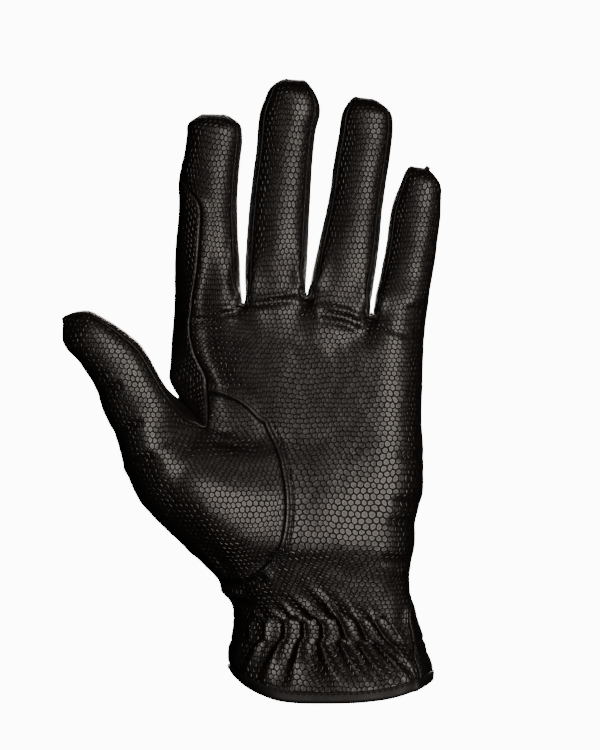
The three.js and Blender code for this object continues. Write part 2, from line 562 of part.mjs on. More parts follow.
const panels = {
  palm_panel: [
    cut(front, 0, footRow, 0, rightColumn),
    cut(front, footRow, seamTopRow, seamColumn, rightColumn),
    cut(front, seamTopRow, topRow, thumbColumns, rightColumn),
    ...fingerRings.map((rings) => strips(rings, "front")),
  ],
  back_panel: [
    cutBack(back, 0, footRow, 0, rightColumn),
    cutBack(back, footRow, topRow, thumbColumns, rightColumn),
    ...fingerRings.map((rings) => strips(rings, "back").map(reversed)),
  ],
  thumb_front: [
    cut(front, footRow, crotchRow, 0, seamColumn),
    cut(front, crotchRow, seamTopRow, thumbColumns, seamColumn),
    strips(thumbRings, "front"),
  ],
  thumb_back: [cutBack(back, footRow, crotchRow, 0, thumbColumns), strips(thumbRings, "back").map(reversed)],
  thumb_gusset: [gusset.map(reversed), gussetOnIndex.map(reversed), strips(thumbRings, "right")],
  fourchette_index_middle: fourchette(fingerRings[0], fingerRings[1]),
  fourchette_middle_ring: fourchette(fingerRings[1], fingerRings[2]),
  fourchette_ring_little: fourchette(fingerRings[2], fingerRings[3]),
};

// The triangles of a panel, without those that shrink to nothing where a strip ends in a point.
function trianglesOf(grids) {
  const found = [];
  for (const rows of grids) {
    for (let r = 0; r + 1 < rows.length; r += 1) {
      for (let c = 0; c + 1 < rows[r].length; c += 1) {
        const [a, b, d, e] = [rows[r][c], rows[r][c + 1], rows[r + 1][c + 1], rows[r + 1][c]];
        const shorter = a.distanceTo(d) <= b.distanceTo(e);
        const pair = shorter ? [[a, b, d], [a, d, e]] : [[a, b, e], [b, d, e]];
        found.push(...pair.filter(([p, q, s]) => p !== q && q !== s && s !== p));
      }
    }
  }
  return found;
}

// The outward direction at every point of the skin, the same for all panels that meet there.
function skinNormals() {
  const normals = new Map();
  for (const triangle of Object.values(panels).flatMap(trianglesOf)) {
    const [a, b, c] = triangle;
    const normal = b.clone().sub(a).cross(c.clone().sub(a));
    for (const p of triangle) normals.set(p, (normals.get(p) ?? new THREE.Vector3()).add(normal));
  }
  normals.forEach((normal) => normal.normalize());
  return normals;
}

// The elastic gathers the cuff: its columns stand out and in by turns, and its two rows are pulled in.
const smooth = skinNormals();
const hemRing = [...front[0], ...reversed(back[0]).slice(1, -1)];
const nextRing = [...front[1], ...reversed(back[1]).slice(1, -1)];
rowPlaces.forEach((place, r) => {
  const gather = gathers[outline[place]?.name];
  if (!gather) return;
  [...front[r], ...reversed(back[r]).slice(1, -1)].forEach((point, c) => {
    const sign = c % 2 === 0 ? 1 : -1;
    const out = gather.pucker * puckerHeight * sign - gather.pinch * pinchDepth;
    point.addScaledVector(smooth.get(point), out);
  });
});

// A panel as a closed wall: its outer side, the same points moved in by the wall, and the cut edge between
// them. The edge stands back from the seam by half the gap.
function panelGeometry(grids, normals) {
  const triangles = trianglesOf(grids);
  const index = new Map();
  const points = [];
  for (const p of triangles.flat()) {
    if (!index.has(p)) {
      index.set(p, points.length);
      points.push(p);
    }
  }
  const faces = triangles.map((triangle) => triangle.map((p) => index.get(p)));
  const directed = new Set(faces.flatMap(([a, b, c]) => [`${a},${b}`, `${b},${c}`, `${c},${a}`]));
  const everyEdge = [...directed].map((edge) => edge.split(",").map(Number));
  const edges = everyEdge.filter(([a, b]) => !directed.has(`${b},${a}`));
  const inward = points.map(() => []);
  for (const [a, b] of edges) {
    for (const k of [a, b]) {
      const line = points[b].clone().sub(points[a]);
      inward[k].push(normals.get(points[k]).clone().cross(line).normalize());
    }
  }
  const placed = points.map((p, k) => {
    const pulls = inward[k];
    if (!pulls.length) return p.clone();
    const sum = pulls.reduce((total, pull) => total.add(pull), new THREE.Vector3());
    const spreadOut = Math.max(0.25, sum.length() / pulls.length);
    return p.clone().addScaledVector(sum.normalize(), seamGap / 2 / spreadOut);
  });
  const inner = placed.map((p, k) => p.clone().addScaledVector(normals.get(points[k]), -wall));
  const n = points.length;
  const walls = edges.flatMap(([a, b]) => [[b, a, a + n], [b, a + n, b + n]]);
  const all = [...faces, ...faces.map(([a, b, c]) => [a + n, c + n, b + n]), ...walls];
  return closedGeometry([...placed, ...inner], all);
}

function closedGeometry(points, faces) {
  const geometry = new THREE.BufferGeometry();
  geometry.setAttribute("position", new THREE.Float32BufferAttribute(points.flatMap((p) => p.toArray()), 3));
  geometry.setIndex(faces.flat());
  geometry.computeVertexNormals();
  return geometry;
}

// The binding: a tape folded round the hem. Its section is drawn outwards from the skin and down from the
// hem's edge.
function bindingGeometry() {
  const outside = bindingClearance + bindingTape;
  const inside = -wall - outside;
  const top = outside - bindingHeight;
  const section = [
    [outside, top],
    [outside, outside - bindingCorner],
    [outside - bindingCorner, outside],
    [inside + bindingCorner, outside],
    [inside, outside - bindingCorner],
    [inside, top],
    [inside + bindingTape, top],
    [inside + bindingTape, bindingClearance],
    [bindingClearance, bindingClearance],
    [bindingClearance, top],
  ];
  const points = hemRing.flatMap((point, i) => {
    const down = point.clone().sub(nextRing[i]).normalize();
    const out = smooth.get(point);
    return section.map(([n, d]) => point.clone().addScaledVector(out, n).addScaledVector(down, d));
  });
  const count = section.length;
  const faces = [];
  hemRing.forEach((_, i) => {
    const next = (i + 1) % hemRing.length;
    section.forEach((__, k) => {
      const turn = (k + 1) % count;
      const [a, b, c, d] = [i * count + k, next * count + k, next * count + turn, i * count + turn];
      faces.push([a, c, b], [a, d, c]);
    });
  });
  return closedGeometry(points, faces);
}

const leather = new THREE.MeshStandardMaterial({ color: 0x14110f, roughness: 0.45, metalness: 0 });
const bindingLeather = new THREE.MeshStandardMaterial({ color: 0x0f0d0c, roughness: 0.55, metalness: 0 });
const glove = new THREE.Group();
const normals = skinNormals();
for (const [name, grids] of Object.entries(panels)) {
  const mesh = new THREE.Mesh(panelGeometry(grids, normals), leather);
  mesh.name = name;
  glove.add(mesh);
}
const binding = new THREE.Mesh(bindingGeometry(), bindingLeather);
binding.name = "cuff_binding";
glove.add(binding);

export default glove;
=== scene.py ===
import json
import math
import bpy
import numpy as np
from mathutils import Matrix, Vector, kdtree, noise
from mathutils.bvhtree import BVHTree

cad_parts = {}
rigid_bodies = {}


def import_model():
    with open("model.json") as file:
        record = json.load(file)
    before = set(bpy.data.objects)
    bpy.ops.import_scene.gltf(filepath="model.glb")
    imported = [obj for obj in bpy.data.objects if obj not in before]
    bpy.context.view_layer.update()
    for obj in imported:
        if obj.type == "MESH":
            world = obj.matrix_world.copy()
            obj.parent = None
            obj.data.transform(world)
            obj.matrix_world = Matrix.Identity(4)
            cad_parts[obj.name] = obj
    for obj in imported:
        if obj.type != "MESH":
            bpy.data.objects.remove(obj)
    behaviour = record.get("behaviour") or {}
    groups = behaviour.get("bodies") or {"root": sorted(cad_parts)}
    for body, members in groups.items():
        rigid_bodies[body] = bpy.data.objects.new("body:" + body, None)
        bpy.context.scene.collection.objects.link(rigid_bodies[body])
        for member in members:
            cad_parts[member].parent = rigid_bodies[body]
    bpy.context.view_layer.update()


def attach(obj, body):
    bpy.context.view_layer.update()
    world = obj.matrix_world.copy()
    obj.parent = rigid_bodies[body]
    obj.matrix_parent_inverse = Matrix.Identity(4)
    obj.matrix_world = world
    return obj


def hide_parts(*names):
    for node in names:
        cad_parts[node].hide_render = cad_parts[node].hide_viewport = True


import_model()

# The leather panels. The glove is cut from flat black synthetic leather and sewn together to a hand's shape.
# The whole hand is shaped as one skin first, with rows up the cuff, palm and back and rings up each finger,
# and is cut into its eight panels along the seams at the end. Sizes are in millimetres, meshes in metres.
palm_length = 150.5
palm_depth = 30
crotch_drop = 3
roundness = 2.5

fingers = [
    dict(name="index", width=25.8, length=72.6, depth=20, lean=1.5, curl=9, rows=15),
    dict(name="middle", width=23.6, length=84, depth=20.5, lean=5.3, curl=10, rows=15),
    dict(name="ring", width=24.7, length=79.5, depth=19.5, lean=6.7, curl=9, rows=15),
    dict(name="little", width=21.3, length=56, depth=17.5, lean=7.6, curl=7, rows=12),
]
thumb = dict(name="thumb", width=34.9, length=60.9, depth=24, lean=-40.4, curl=9, rows=12)
palm_width = sum(finger["width"] for finger in fingers)

# Each finger's outline: left and right in shares of its width, front and back in shares of its depth.
fingers[0]["sections"] = [
    dict(at=0.0, left=-0.5, right=0.5, front=0.56, back=0.52),
    dict(at=0.1, left=-0.5178, right=0.4594, front=0.53, back=0.49),
    dict(at=0.3, left=-0.5205, right=0.4044, front=0.51, back=0.48),
    dict(at=0.5, left=-0.4939, right=0.3663, front=0.5, back=0.46),
    dict(at=0.65, left=-0.5002, right=0.3733, front=0.49, back=0.45),
    dict(at=0.8, left=-0.43, right=0.4013, front=0.46, back=0.42),
    dict(at=0.89, left=-0.4039, right=0.4196, front=0.42, back=0.37),
    dict(at=0.94, left=-0.3816, right=0.3718, front=0.35, back=0.3),
    dict(at=0.975, left=-0.3129, right=0.327, front=0.23, back=0.18),
    dict(at=1.0, left=-0.165, right=0.185, front=0, back=0),
]
fingers[1]["sections"] = [
    dict(at=0.0, left=-0.5, right=0.5, front=0.56, back=0.52),
    dict(at=0.1, left=-0.5192, right=0.4812, front=0.53, back=0.49),
    dict(at=0.3, left=-0.5442, right=0.4425, front=0.51, back=0.48),
    dict(at=0.5, left=-0.5435, right=0.4125, front=0.5, back=0.46),
    dict(at=0.7, left=-0.5215, right=0.3975, front=0.48, back=0.44),
    dict(at=0.8, left=-0.5258, right=0.4119, front=0.46, back=0.42),
    dict(at=0.87, left=-0.4965, right=0.4518, front=0.43, back=0.38),
    dict(at=0.93, left=-0.4052, right=0.3697, front=0.35, back=0.3),
    dict(at=0.975, left=-0.3364, right=0.2668, front=0.23, back=0.18),
    dict(at=1.0, left=-0.2, right=0.185, front=0, back=0),
]
fingers[2]["sections"] = [
    dict(at=0.0, left=-0.5, right=0.5, front=0.56, back=0.52),
    dict(at=0.1, left=-0.473, right=0.5062, front=0.53, back=0.49),
    dict(at=0.3, left=-0.406, right=0.5102, front=0.51, back=0.48),
    dict(at=0.5, left=-0.3429, right=0.4973, front=0.5, back=0.46),
    dict(at=0.7, left=-0.329, right=0.5143, front=0.48, back=0.44),
    dict(at=0.84, left=-0.2999, right=0.5163, front=0.45, back=0.4),
    dict(at=0.9, left=-0.299, right=0.5006, front=0.4, back=0.35),
    dict(at=0.945, left=-0.2327, right=0.4247, front=0.33, back=0.28),
    dict(at=0.98, left=-0.2471, right=0.356, front=0.21, back=0.17),
    dict(at=1.0, left=-0.17, right=0.2, front=0, back=0),
]
fingers[3]["sections"] = [
    dict(at=0.0, left=-0.5, right=0.5, front=0.56, back=0.52),
    dict(at=0.12, left=-0.477, right=0.4947, front=0.53, back=0.49),
    dict(at=0.3, left=-0.4197, right=0.5067, front=0.51, back=0.48),
    dict(at=0.5, left=-0.3894, right=0.5138, front=0.5, back=0.46),
    dict(at=0.68, left=-0.3888, right=0.5044, front=0.48, back=0.44),
    dict(at=0.8, left=-0.3356, right=0.4753, front=0.45, back=0.4),
    dict(at=0.88, left=-0.2806, right=0.4441, front=0.4, back=0.34),
    dict(at=0.94, left=-0.2406, right=0.34, front=0.31, back=0.26),
    dict(at=0.975, left=-0.2297, right=0.2794, front=0.2, back=0.16),
    dict(at=1.0, left=-0.19, right=0.16, front=0, back=0),
]
# The thumb bends, so its two sides each have their own share along it.
thumb["sections"] = [
    dict(at=0.0, left_at=0.05, left=-0.495, right_at=-0.05, right=0.495, front=0.56, back=0.52),
    dict(at=0.15, left_at=0.16, left=-0.4078, right_at=0.09, right=0.46, front=0.52, back=0.5),
    dict(at=0.3, left_at=0.29, left=-0.305, right_at=0.24, right=0.4465, front=0.48, back=0.47),
    dict(at=0.45, left_at=0.42, left=-0.2536, right_at=0.41, right=0.4943, front=0.45, back=0.44),
    dict(at=0.6, left_at=0.56, left=-0.1507, right_at=0.58, right=0.5358, front=0.42, back=0.42),
    dict(at=0.75, left_at=0.69, left=-0.1071, right_at=0.74, right=0.4929, front=0.39, back=0.38),
    dict(at=0.87, left_at=0.8, left=-0.0921, right_at=0.88, right=0.42, front=0.34, back=0.32),
    dict(at=0.95, left_at=0.885, left=-0.1036, right_at=1.0, right=0.3029, front=0.22, back=0.2),
    dict(at=1.0, left_at=0.935, left=-0.075, right_at=1.06, right=0.09, front=0, back=0),
]

# The hand's outline from the hem up, across in shares of the palm's width and up in shares of its length.
outline = [
    dict(name="hem", left=-0.391, left_up=0.076, web=-0.225, seam=-0.083, right=0.405, right_up=0.058,
         mid_up=0.008, side_seam=0.056),
    dict(name="flare", left=-0.4071, left_up=0.1, web=-0.225, seam=-0.082, right=0.403, right_up=0.088,
         mid_up=0.043, side_seam=0.055),
    dict(name="ruffle", left=-0.4043, left_up=0.13, web=-0.225, seam=-0.083, right=0.384, right_up=0.12,
         mid_up=0.085, side_seam=0.053),
    dict(name="ruffle_top", left=-0.3983, left_up=0.147, web=-0.225, seam=-0.088, right=0.3764,
         right_up=0.14, mid_up=0.12, side_seam=0.05),
    dict(name="low_elastic", left=-0.3943, left_up=0.157, web=-0.228, seam=-0.096, right=0.371,
         right_up=0.155, mid_up=0.15, side_seam=0.048),
    dict(name="between", left=-0.3884, left_up=0.18, web=-0.226, seam=-0.098, right=0.3585, right_up=0.18,
         mid_up=0.18, side_seam=0.043),
    dict(name="high_elastic", left=-0.3864, left_up=0.207, web=-0.228, seam=-0.102, right=0.345,
         right_up=0.21, mid_up=0.207, side_seam=0.037),
    dict(name="wrist", left=-0.394, left_up=0.243, web=-0.262, seam=-0.135, right=0.332, right_up=0.243,
         mid_up=0.243, side_seam=0.018),
    dict(name="roll", left=-0.4351, left_up=0.277, web=-0.315, seam=-0.185, right=0.3156, right_up=0.28,
         mid_up=0.29, side_seam=0),
    dict(name="thumb_foot", left=-0.4509, left_up=0.303, web=-0.34, web_up=0.302, seam=-0.235,
         seam_up=0.358, right=0.3128, right_up=0.315, steps=2),
    dict(name="heel", left=-0.5578, left_up=0.374, web=-0.418, web_up=0.391, seam=-0.203, seam_up=0.396,
         right=0.334, right_up=0.391, steps=2),
    dict(name="mound", left=-0.6637, left_up=0.439, web=-0.486, web_up=0.477, back_web=-0.49,
         back_web_up=0.48, seam=-0.183, seam_up=0.457, right=0.3376, right_up=0.455, steps=2),
    dict(name="mound_top", left=-0.75, left_up=0.497, web=-0.522, web_up=0.558, back_web=-0.53,
         back_web_up=0.575, seam=-0.183, seam_up=0.53, right=0.3662, right_up=0.53, steps=2),
    dict(name="web", left=-0.7907, left_up=0.545, web=-0.51, web_up=0.641, back_web=-0.575,
         back_web_up=0.68, seam=-0.207, seam_up=0.611, right=0.367, right_up=0.612, steps=1),
    dict(name="thumb_crotch", left=-0.808, left_up=0.571, web=-0.494, web_up=0.689, back_web=-0.612,
         back_web_up=0.762, seam=-0.235, seam_up=0.657, right=0.3662, right_up=0.657, steps=1),
    dict(name="seam_top", web=-0.49, web_up=0.778, back_web=-0.592, back_web_up=0.805, seam=-0.267,
         seam_up=0.697, right=0.3611, right_up=0.7, arch=0.02, steps=1),
    dict(name="hollow", web=-0.494, web_up=0.813, back_web=-0.592, back_web_up=0.84, seam=-0.275,
         seam_up=0.752, right=0.3632, right_up=0.748, steps=2),
    dict(name="pads", web=-0.542, web_up=0.874, back_web=-0.592, back_web_up=0.885, seam=-0.307,
         seam_up=0.846, right=0.3662, right_up=0.841, steps=2),
    dict(name="pads_top", web=-0.562, web_up=0.937, back_web=-0.592, back_web_up=0.94, seam=-0.331,
         seam_up=0.932, right=0.3723, right_up=0.922, steps=1),
    dict(name="finger_base", web=-0.554, web_up=0.99, back_web=-0.588, back_web_up=0.97, seam=-0.39,
         seam_up=0.998, right=0.3804, right_up=0.98, steps=0),
]
cuff_rows = 9
crotches = [1.0, 1.018, 0.972]
palm_left = -0.6175
gusset_left = [-0.6, -0.626, -0.628, -0.627, -0.625, -0.6175]

# How far each row reaches forward at its side, the thumb's crest, the web, seam, hollow and outer pad, and
# in the second table how far it reaches back, in shares of the palm's depth.
relief = [
    dict(side=0, crest=0.72, web=0.77, seam=0.79, hollow=0.8, pad=0.76),
    dict(side=0, crest=0.68, web=0.73, seam=0.75, hollow=0.76, pad=0.72),
    dict(side=0, crest=0.64, web=0.68, seam=0.69, hollow=0.695, pad=0.66),
    dict(side=0, crest=0.6, web=0.635, seam=0.635, hollow=0.635, pad=0.6),
    dict(side=0, crest=0.575, web=0.6, seam=0.595, hollow=0.58, pad=0.545),
    dict(side=0, crest=0.56, web=0.575, seam=0.56, hollow=0.54, pad=0.5),
    dict(side=0, crest=0.55, web=0.565, seam=0.548, hollow=0.525, pad=0.48),
    dict(side=0.01, crest=0.55, web=0.585, seam=0.588, hollow=0.56, pad=0.505),
    dict(side=0.05, crest=0.58, web=0.62, seam=0.645, hollow=0.61, pad=0.54),
    dict(side=0.13, crest=0.615, web=0.65, seam=0.72, hollow=0.668, pad=0.578),
    dict(side=0.27, crest=0.745, web=0.805, seam=0.77, hollow=0.712, pad=0.62),
    dict(side=0.37, crest=0.87, web=0.91, seam=0.762, hollow=0.7, pad=0.61),
    dict(side=0.43, crest=0.92, web=0.92, seam=0.7, hollow=0.65, pad=0.585),
    dict(side=0.48, crest=0.94, web=0.75, seam=0.59, hollow=0.57, pad=0.555),
    dict(side=0.5, crest=0.92, web=0.57, seam=0.515, hollow=0.52, pad=0.535),
    dict(web=0.4, seam=0.485, hollow=0.495, pad=0.515),
    dict(web=0.37, seam=0.455, hollow=0.48, pad=0.505),
    dict(web=0.37, seam=0.45, hollow=0.465, pad=0.49),
    dict(web=0.39, seam=0.47, hollow=0.48, pad=0.475),
    dict(web=0.38, seam=0.45, hollow=0.45, pad=0.43),
]
back_relief = [
    dict(crest=0.62, web=0.68, back=0.73),
    dict(crest=0.61, web=0.67, back=0.72),
    dict(crest=0.6, web=0.66, back=0.7),
    dict(crest=0.59, web=0.65, back=0.68),
    dict(crest=0.58, web=0.63, back=0.67),
    dict(crest=0.57, web=0.62, back=0.66),
    dict(crest=0.56, web=0.61, back=0.65),
    dict(crest=0.54, web=0.6, back=0.64),
    dict(crest=0.51, web=0.58, back=0.62),
    dict(crest=0.46, web=0.55, back=0.6),
    dict(crest=0.34, web=0.46, back=0.55),
    dict(crest=0.22, web=0.37, back=0.52),
    dict(crest=0.1, web=0.25, back=0.5),
    dict(crest=0, web=0.08, back=0.49),
    dict(crest=-0.06, web=-0.1, back=0.485),
    dict(web=0.25, back=0.48),
    dict(web=0.3, back=0.475),
    dict(web=0.3, back=0.47),
    dict(web=0.3, back=0.455),
    dict(web=0.3, back=0.44),
]

thumb_columns = 5
web_columns = 4
seam_column = thumb_columns + web_columns
right_column = thumb_columns + 18
hollow_column = 14
pad_column = 19
crest_column = 3
crotch_columns = [5, 9, 13]
side_columns = 3
edge_shares = [0, 0.08, 0.27, 0.5, 0.75, 1]
edge_reach = 0.035
round_reach = 0.2
cuff_middle = -0.05
corner_angle = 50


def mix(a, b, share):
    return a + (b - a) * share


def clamp(value, low=0.0, high=1.0):
    return max(low, min(high, value))


def rounded(share):
    return (1 - clamp(share) ** roundness) ** (1 / roundness)


def bulge(value):
    return math.copysign(abs(value) ** (2 / roundness), value)


def smoothstep(value, low, high):
    t = clamp((value - low) / (high - low))
    return t * t * (3 - 2 * t)


def through(places, values, place):
    """A smooth curve through the points, read at one place."""
    last = len(places) - 1
    p = clamp(place, places[0], places[last])
    i = 0
    while i < last - 1 and p > places[i + 1]:
        i += 1

    def slope(k):
        a, b = max(0, k - 1), min(last, k + 1)
        return (values[b] - values[a]) / (places[b] - places[a])

    span = places[i + 1] - places[i]
    u = (p - places[i]) / span
    start = u * (1 - u) * (1 - u) * span * slope(i)
    end = u * u * (u - 1) * span * slope(i + 1)
    return mix(values[i], values[i + 1], u * u * (3 - 2 * u)) + start + end


def column(table, key, place):
    rows = [(i, row[key]) for i, row in enumerate(table) if key in row]
    return through([i for i, _ in rows], [value for _, value in rows], place)


row_names = [section["name"] for section in outline]
crotch_place = row_names.index("thumb_crotch")
back_place = row_names.index("mound")
row_places = []
for i, section in enumerate(outline):
    steps = 1 if i < cuff_rows else section["steps"]
    row_places += [i + k / steps for k in range(steps)]
row_places.append(len(outline) - 1)
foot_row = row_places.index(row_names.index("thumb_foot"))
crotch_row = row_places.index(crotch_place)
seam_top_row = row_places.index(row_names.index("seam_top"))
top_row = len(row_places) - 1
finger_left = [palm_left * palm_width + sum(f["width"] for f in fingers[:i]) for i in range(5)]


def corner(key, place):
    across, up = column(outline, key, place), column(outline, key + "_up", place)
    return np.array([across * palm_width, up * palm_length])


def side_inset(place):
    return outline[int(place)]["side_seam"] * palm_width if place < cuff_rows else 0


def row_points(place, back):
    """Across and up of each column of a row, for the front or the back of the hand."""
    has_thumb = place <= crotch_place
    web = corner("back_web" if back and place >= back_place else "web", place)
    inset = side_inset(place)
    right = corner("right", place)
    if not back:
        right[0] -= inset
    last_share = 1 if back and inset else 1 - edge_reach
    start = web if back else corner("seam", place)
    first = thumb_columns if back else seam_column
    row = []
    for c in range(right_column + 1):
        if c < thumb_columns:
            row.append(mix(corner("left", place), web, edge_shares[c]) if has_thumb else None)
        elif c < first:
            share = (c - thumb_columns) / web_columns
            point = mix(web, start, share)
            arch = outline[round(place)].get("arch", 0)
            row.append(point + np.array([0, math.sin(math.pi * share) * arch * palm_length]))
        else:
            even = (c - first) / (right_column - first - 1)
            row.append(mix(start, right, 1 if c == right_column else even * last_share))
    if place < cuff_rows:
        middle = cuff_middle * palm_width
        for point in row:
            end = corner("left" if point[0] < middle else "right", place)
            share = clamp((point[0] - middle) / (end[0] - middle))
            point[1] = mix(column(outline, "mid_up", place) * palm_length, end[1], share ** 3)
    return row


def depth(place, c, across, ends, back):
    def value(key):
        return column(relief, key, place) * palm_depth

    right = rounded(1 - (ends[1] - across) / (round_reach * palm_width))
    left = rounded(1 - (across - ends[0]) / (round_reach * palm_width))
    if back:
        places = [thumb_columns, seam_column, right_column]
        back_value = [column(back_relief, key, place) * palm_depth for key in ("web", "back", "crest")]
        depths = [back_value[0], back_value[1], back_value[1]]
        crest = back_value[2]
    else:
        places = [thumb_columns, seam_column, hollow_column, pad_column, right_column]
        depths = [value("web"), value("seam"), value("hollow"), value("pad"), value("pad")]
        crest = value("crest")
    if place > crotch_place:
        return through(places, depths, c) * right
    reach = through([0, crest_column] + places, [crest, crest] + depths, c)
    side = -value("side") if back else value("side")
    return mix(side, reach, left) * right


skin = []


def add(x, y, z):
    skin.append(np.array([x, y, z], dtype=float))
    return len(skin) - 1


def set_finger_bases(front_points, back_points):
    marks = [(thumb_columns + c, finger_left[i + 1], crotches[i] * palm_length)
             for i, c in enumerate(crotch_columns)]
    marks.append((right_column, finger_left[4], front_points[right_column][1]))
    for points, is_back in ((front_points, False), (back_points, True)):
        c0, (x0, z0) = thumb_columns, points[thumb_columns]
        for c1, x1, z1 in marks:
            for c in range(c0 + 1, c1 + 1):
                share = (c - c0) / (c1 - c0)
                near = any(abs(thumb_columns + k - c) < 2 for k in crotch_columns)
                drop = crotch_drop if is_back and near else 0
                wide = share * 1.15 if c1 == right_column and c < c1 else share
                points[c] = np.array([mix(x0, x1, wide), mix(z0, z1, share) - drop])
            c0, x0, z0 = c1, x1, z1


front, back = [], []
for r, place in enumerate(row_places):
    has_thumb = r <= crotch_row
    front_points, back_points = row_points(place, False), row_points(place, True)
    if r == top_row:
        set_finger_bases(front_points, back_points)
    left_end = front_points[0 if has_thumb else thumb_columns][0]
    ends = [left_end, front_points[right_column][0] + side_inset(place)]
    front.append([None if p is None else add(p[0], -depth(place, c, p[0], ends, False), p[1])
                  for c, p in enumerate(front_points)])
    row = []
    for c, p in enumerate(back_points):
        if p is None:
            row.append(None)
        elif c == right_column or (c == 0 and has_thumb):
            row.append(front[r][c])
        else:
            row.append(add(p[0], depth(place, c, p[0], ends, True), p[1]))
    back.append(row)

gusset = []
for r in range(crotch_row, top_row + 1):
    a, b = front[r][thumb_columns], back[r][thumb_columns]
    share = (r - crotch_row) / (top_row - crotch_row)
    edge = through([i / 5 for i in range(6)], gusset_left, share) * palm_width
    line = [a]
    for k in range(1, side_columns):
        point = mix(skin[a], skin[b], k / side_columns)
        line.append(add(edge if r > crotch_row else point[0], point[1], point[2]))
    gusset.append(line + [b])
crotch_lines = []
for c in crotch_columns:
    a, b = front[top_row][thumb_columns + c], back[top_row][thumb_columns + c]
    inner = [add(*mix(skin[a], skin[b], k / side_columns)) for k in range(1, side_columns)]
    crotch_lines.append([a] + inner + [b])


def spread(start, end, count):
    return [mix(start, end, i / count) for i in range(count + 1)]


def digit(spec, base, angles):
    """The rings of one finger, grown from its ring on the hand."""
    lean = math.radians(spec["lean"])
    along = np.array([math.sin(lean), 0, math.cos(lean)])
    across = np.array([math.cos(lean), 0, -math.sin(lean)])
    middle = (base.get("left_end", skin[base["front"][0]]) + skin[base["front"][-1]]) / 2
    base_y = (max(skin[p][1] for p in base["back"]) + min(skin[p][1] for p in base["front"])) / 2
    places = [section["at"] for section in spec["sections"]]

    def value(key, at):
        return through(places, [section.get(key, section["at"]) for section in spec["sections"]], at)

    def own(angle, at):
        side, ahead = bulge(math.sin(math.radians(angle))), bulge(math.cos(math.radians(angle)))
        left, right = value("left", at) * spec["width"], value("right", at) * spec["width"]
        reach = mix(value("left_at", at), value("right_at", at), (side + 1) / 2) * spec["length"]
        deep = value("front" if ahead > 0 else "back", at) * spec["depth"]
        return reach, (left + right) / 2 + (right - left) / 2 * side, -deep * ahead

    rings = [dict(base, at=0)]
    for i in range(1, spec["rows"] + 1):
        at = i / spec["rows"] - 0.055 * math.sin(2 * math.pi * i / spec["rows"])
        sideways, deepways = smoothstep(at, 0, 0.12), smoothstep(at, 0, 0.35)
        tip = i == spec["rows"]

        def point(start, angle):
            offset = skin[start] - middle
            here, first = own(angle, at), own(angle, 0)
            up = here[0] + (offset @ along - first[0]) * (1 - at) ** 2
            sidewise = mix(offset @ across, here[1], sideways)
            place = middle + along * up + across * sidewise
            y = mix(skin[start][1], base_y + here[2], deepways) - spec["curl"] * at ** 1.5
            return np.array([place[0], y, place[2]])

        set_front, set_back = angles(at)
        ring = dict(at=at)
        ahead = [point(p, a) for p, a in zip(base["front"], set_front)]
        behind = [point(p, a) for p, a in zip(base["back"], set_back)]
        if tip:
            ring["front"] = [add(*(p + q) / 2) for p, q in zip(ahead, behind)]
            ring["back"] = list(ring["front"])
        else:
            ring["front"] = [add(*p) for p in ahead]
            ring["back"] = [add(*p) for p in behind]
        if set_front[0] == -90:
            ring["back"][0] = ring["front"][0]
        if set_front[-1] == 90:
            ring["back"][-1] = ring["front"][-1]
        for key, k, turn in (("right", -1, 360), ("left", 0, 0)):
            line = base[key]
            if line is None:
                ring[key] = None
            elif ring["front"][k] == ring["back"][k]:
                ring[key] = [ring["front"][k]] * len(line) if tip else None
            else:
                a, b = set_front[k], set_back[k] + turn
                inner = [add(*point(p, mix(a, b, n / side_columns))) for n, p in enumerate(line)][1:-1]
                ring[key] = [ring["front"][k]] + inner + [ring["back"][k]]
        rings.append(ring)
    return rings


# The gusset beside the index finger ends in a rounded tongue, so its seams' angles have their own table.
tongue = [
    dict(at=0, front=-28, back=-150),
    dict(at=0.1, front=-20, back=-152),
    dict(at=0.22, front=-13, back=-152),
    dict(at=0.41, front=-9, back=-148),
    dict(at=0.52, front=-12, back=-142),
    dict(at=0.585, front=-24, back=-130),
    dict(at=0.63, front=-52, back=-112),
    dict(at=0.66, front=-90, back=-90),
]
tongue_places = [row["at"] for row in tongue]


def index_angles(at):
    ahead = through(tongue_places, [row["front"] for row in tongue], at)
    behind = through(tongue_places, [row["back"] for row in tongue], at)
    return spread(ahead, corner_angle, 5), spread(behind, -180 - corner_angle, 5)


def plain_angles(at):
    return spread(-corner_angle, corner_angle, 4), spread(corner_angle - 180, -180 - corner_angle, 4)


def little_angles(at):
    return spread(-corner_angle, 90, 5), spread(corner_angle - 180, -270, 5)


def thumb_angles(at):
    return spread(-90, corner_angle, 5), spread(-90, -180 - corner_angle, 5)


columns = [0] + crotch_columns + [18]
finger_rings = []
for i, angles in enumerate((index_angles, plain_angles, plain_angles, little_angles)):
    first, last = thumb_columns + columns[i], thumb_columns + columns[i + 1]
    base = dict(front=front[top_row][first:last + 1], back=back[top_row][first:last + 1],
                left=crotch_lines[i - 1] if i else gusset[-1], right=crotch_lines[i] if i < 3 else None)
    if i == 0:
        corner_point = skin[base["front"][0]]
        base["left_end"] = np.array([palm_left * palm_width, corner_point[1], corner_point[2]])
    finger_rings.append(digit(fingers[i], base, angles))
thumb_base = dict(front=front[crotch_row][:thumb_columns + 1], back=back[crotch_row][:thumb_columns + 1],
                  left=None, right=gusset[0])
thumb_rings = digit(thumb, thumb_base, thumb_angles)


def cut(rows, start, end, c0, c1):
    return [row[c0:c1 + 1] for row in rows[start:end + 1]]


def turned(rows):
    return [row[::-1] for row in rows]


def strips(rings, key):
    return [ring[key] for ring in rings if ring.get(key)]


def fourchette(left_finger, right_finger):
    return [strips(left_finger, "right"), turned(strips(right_finger, "left"))]


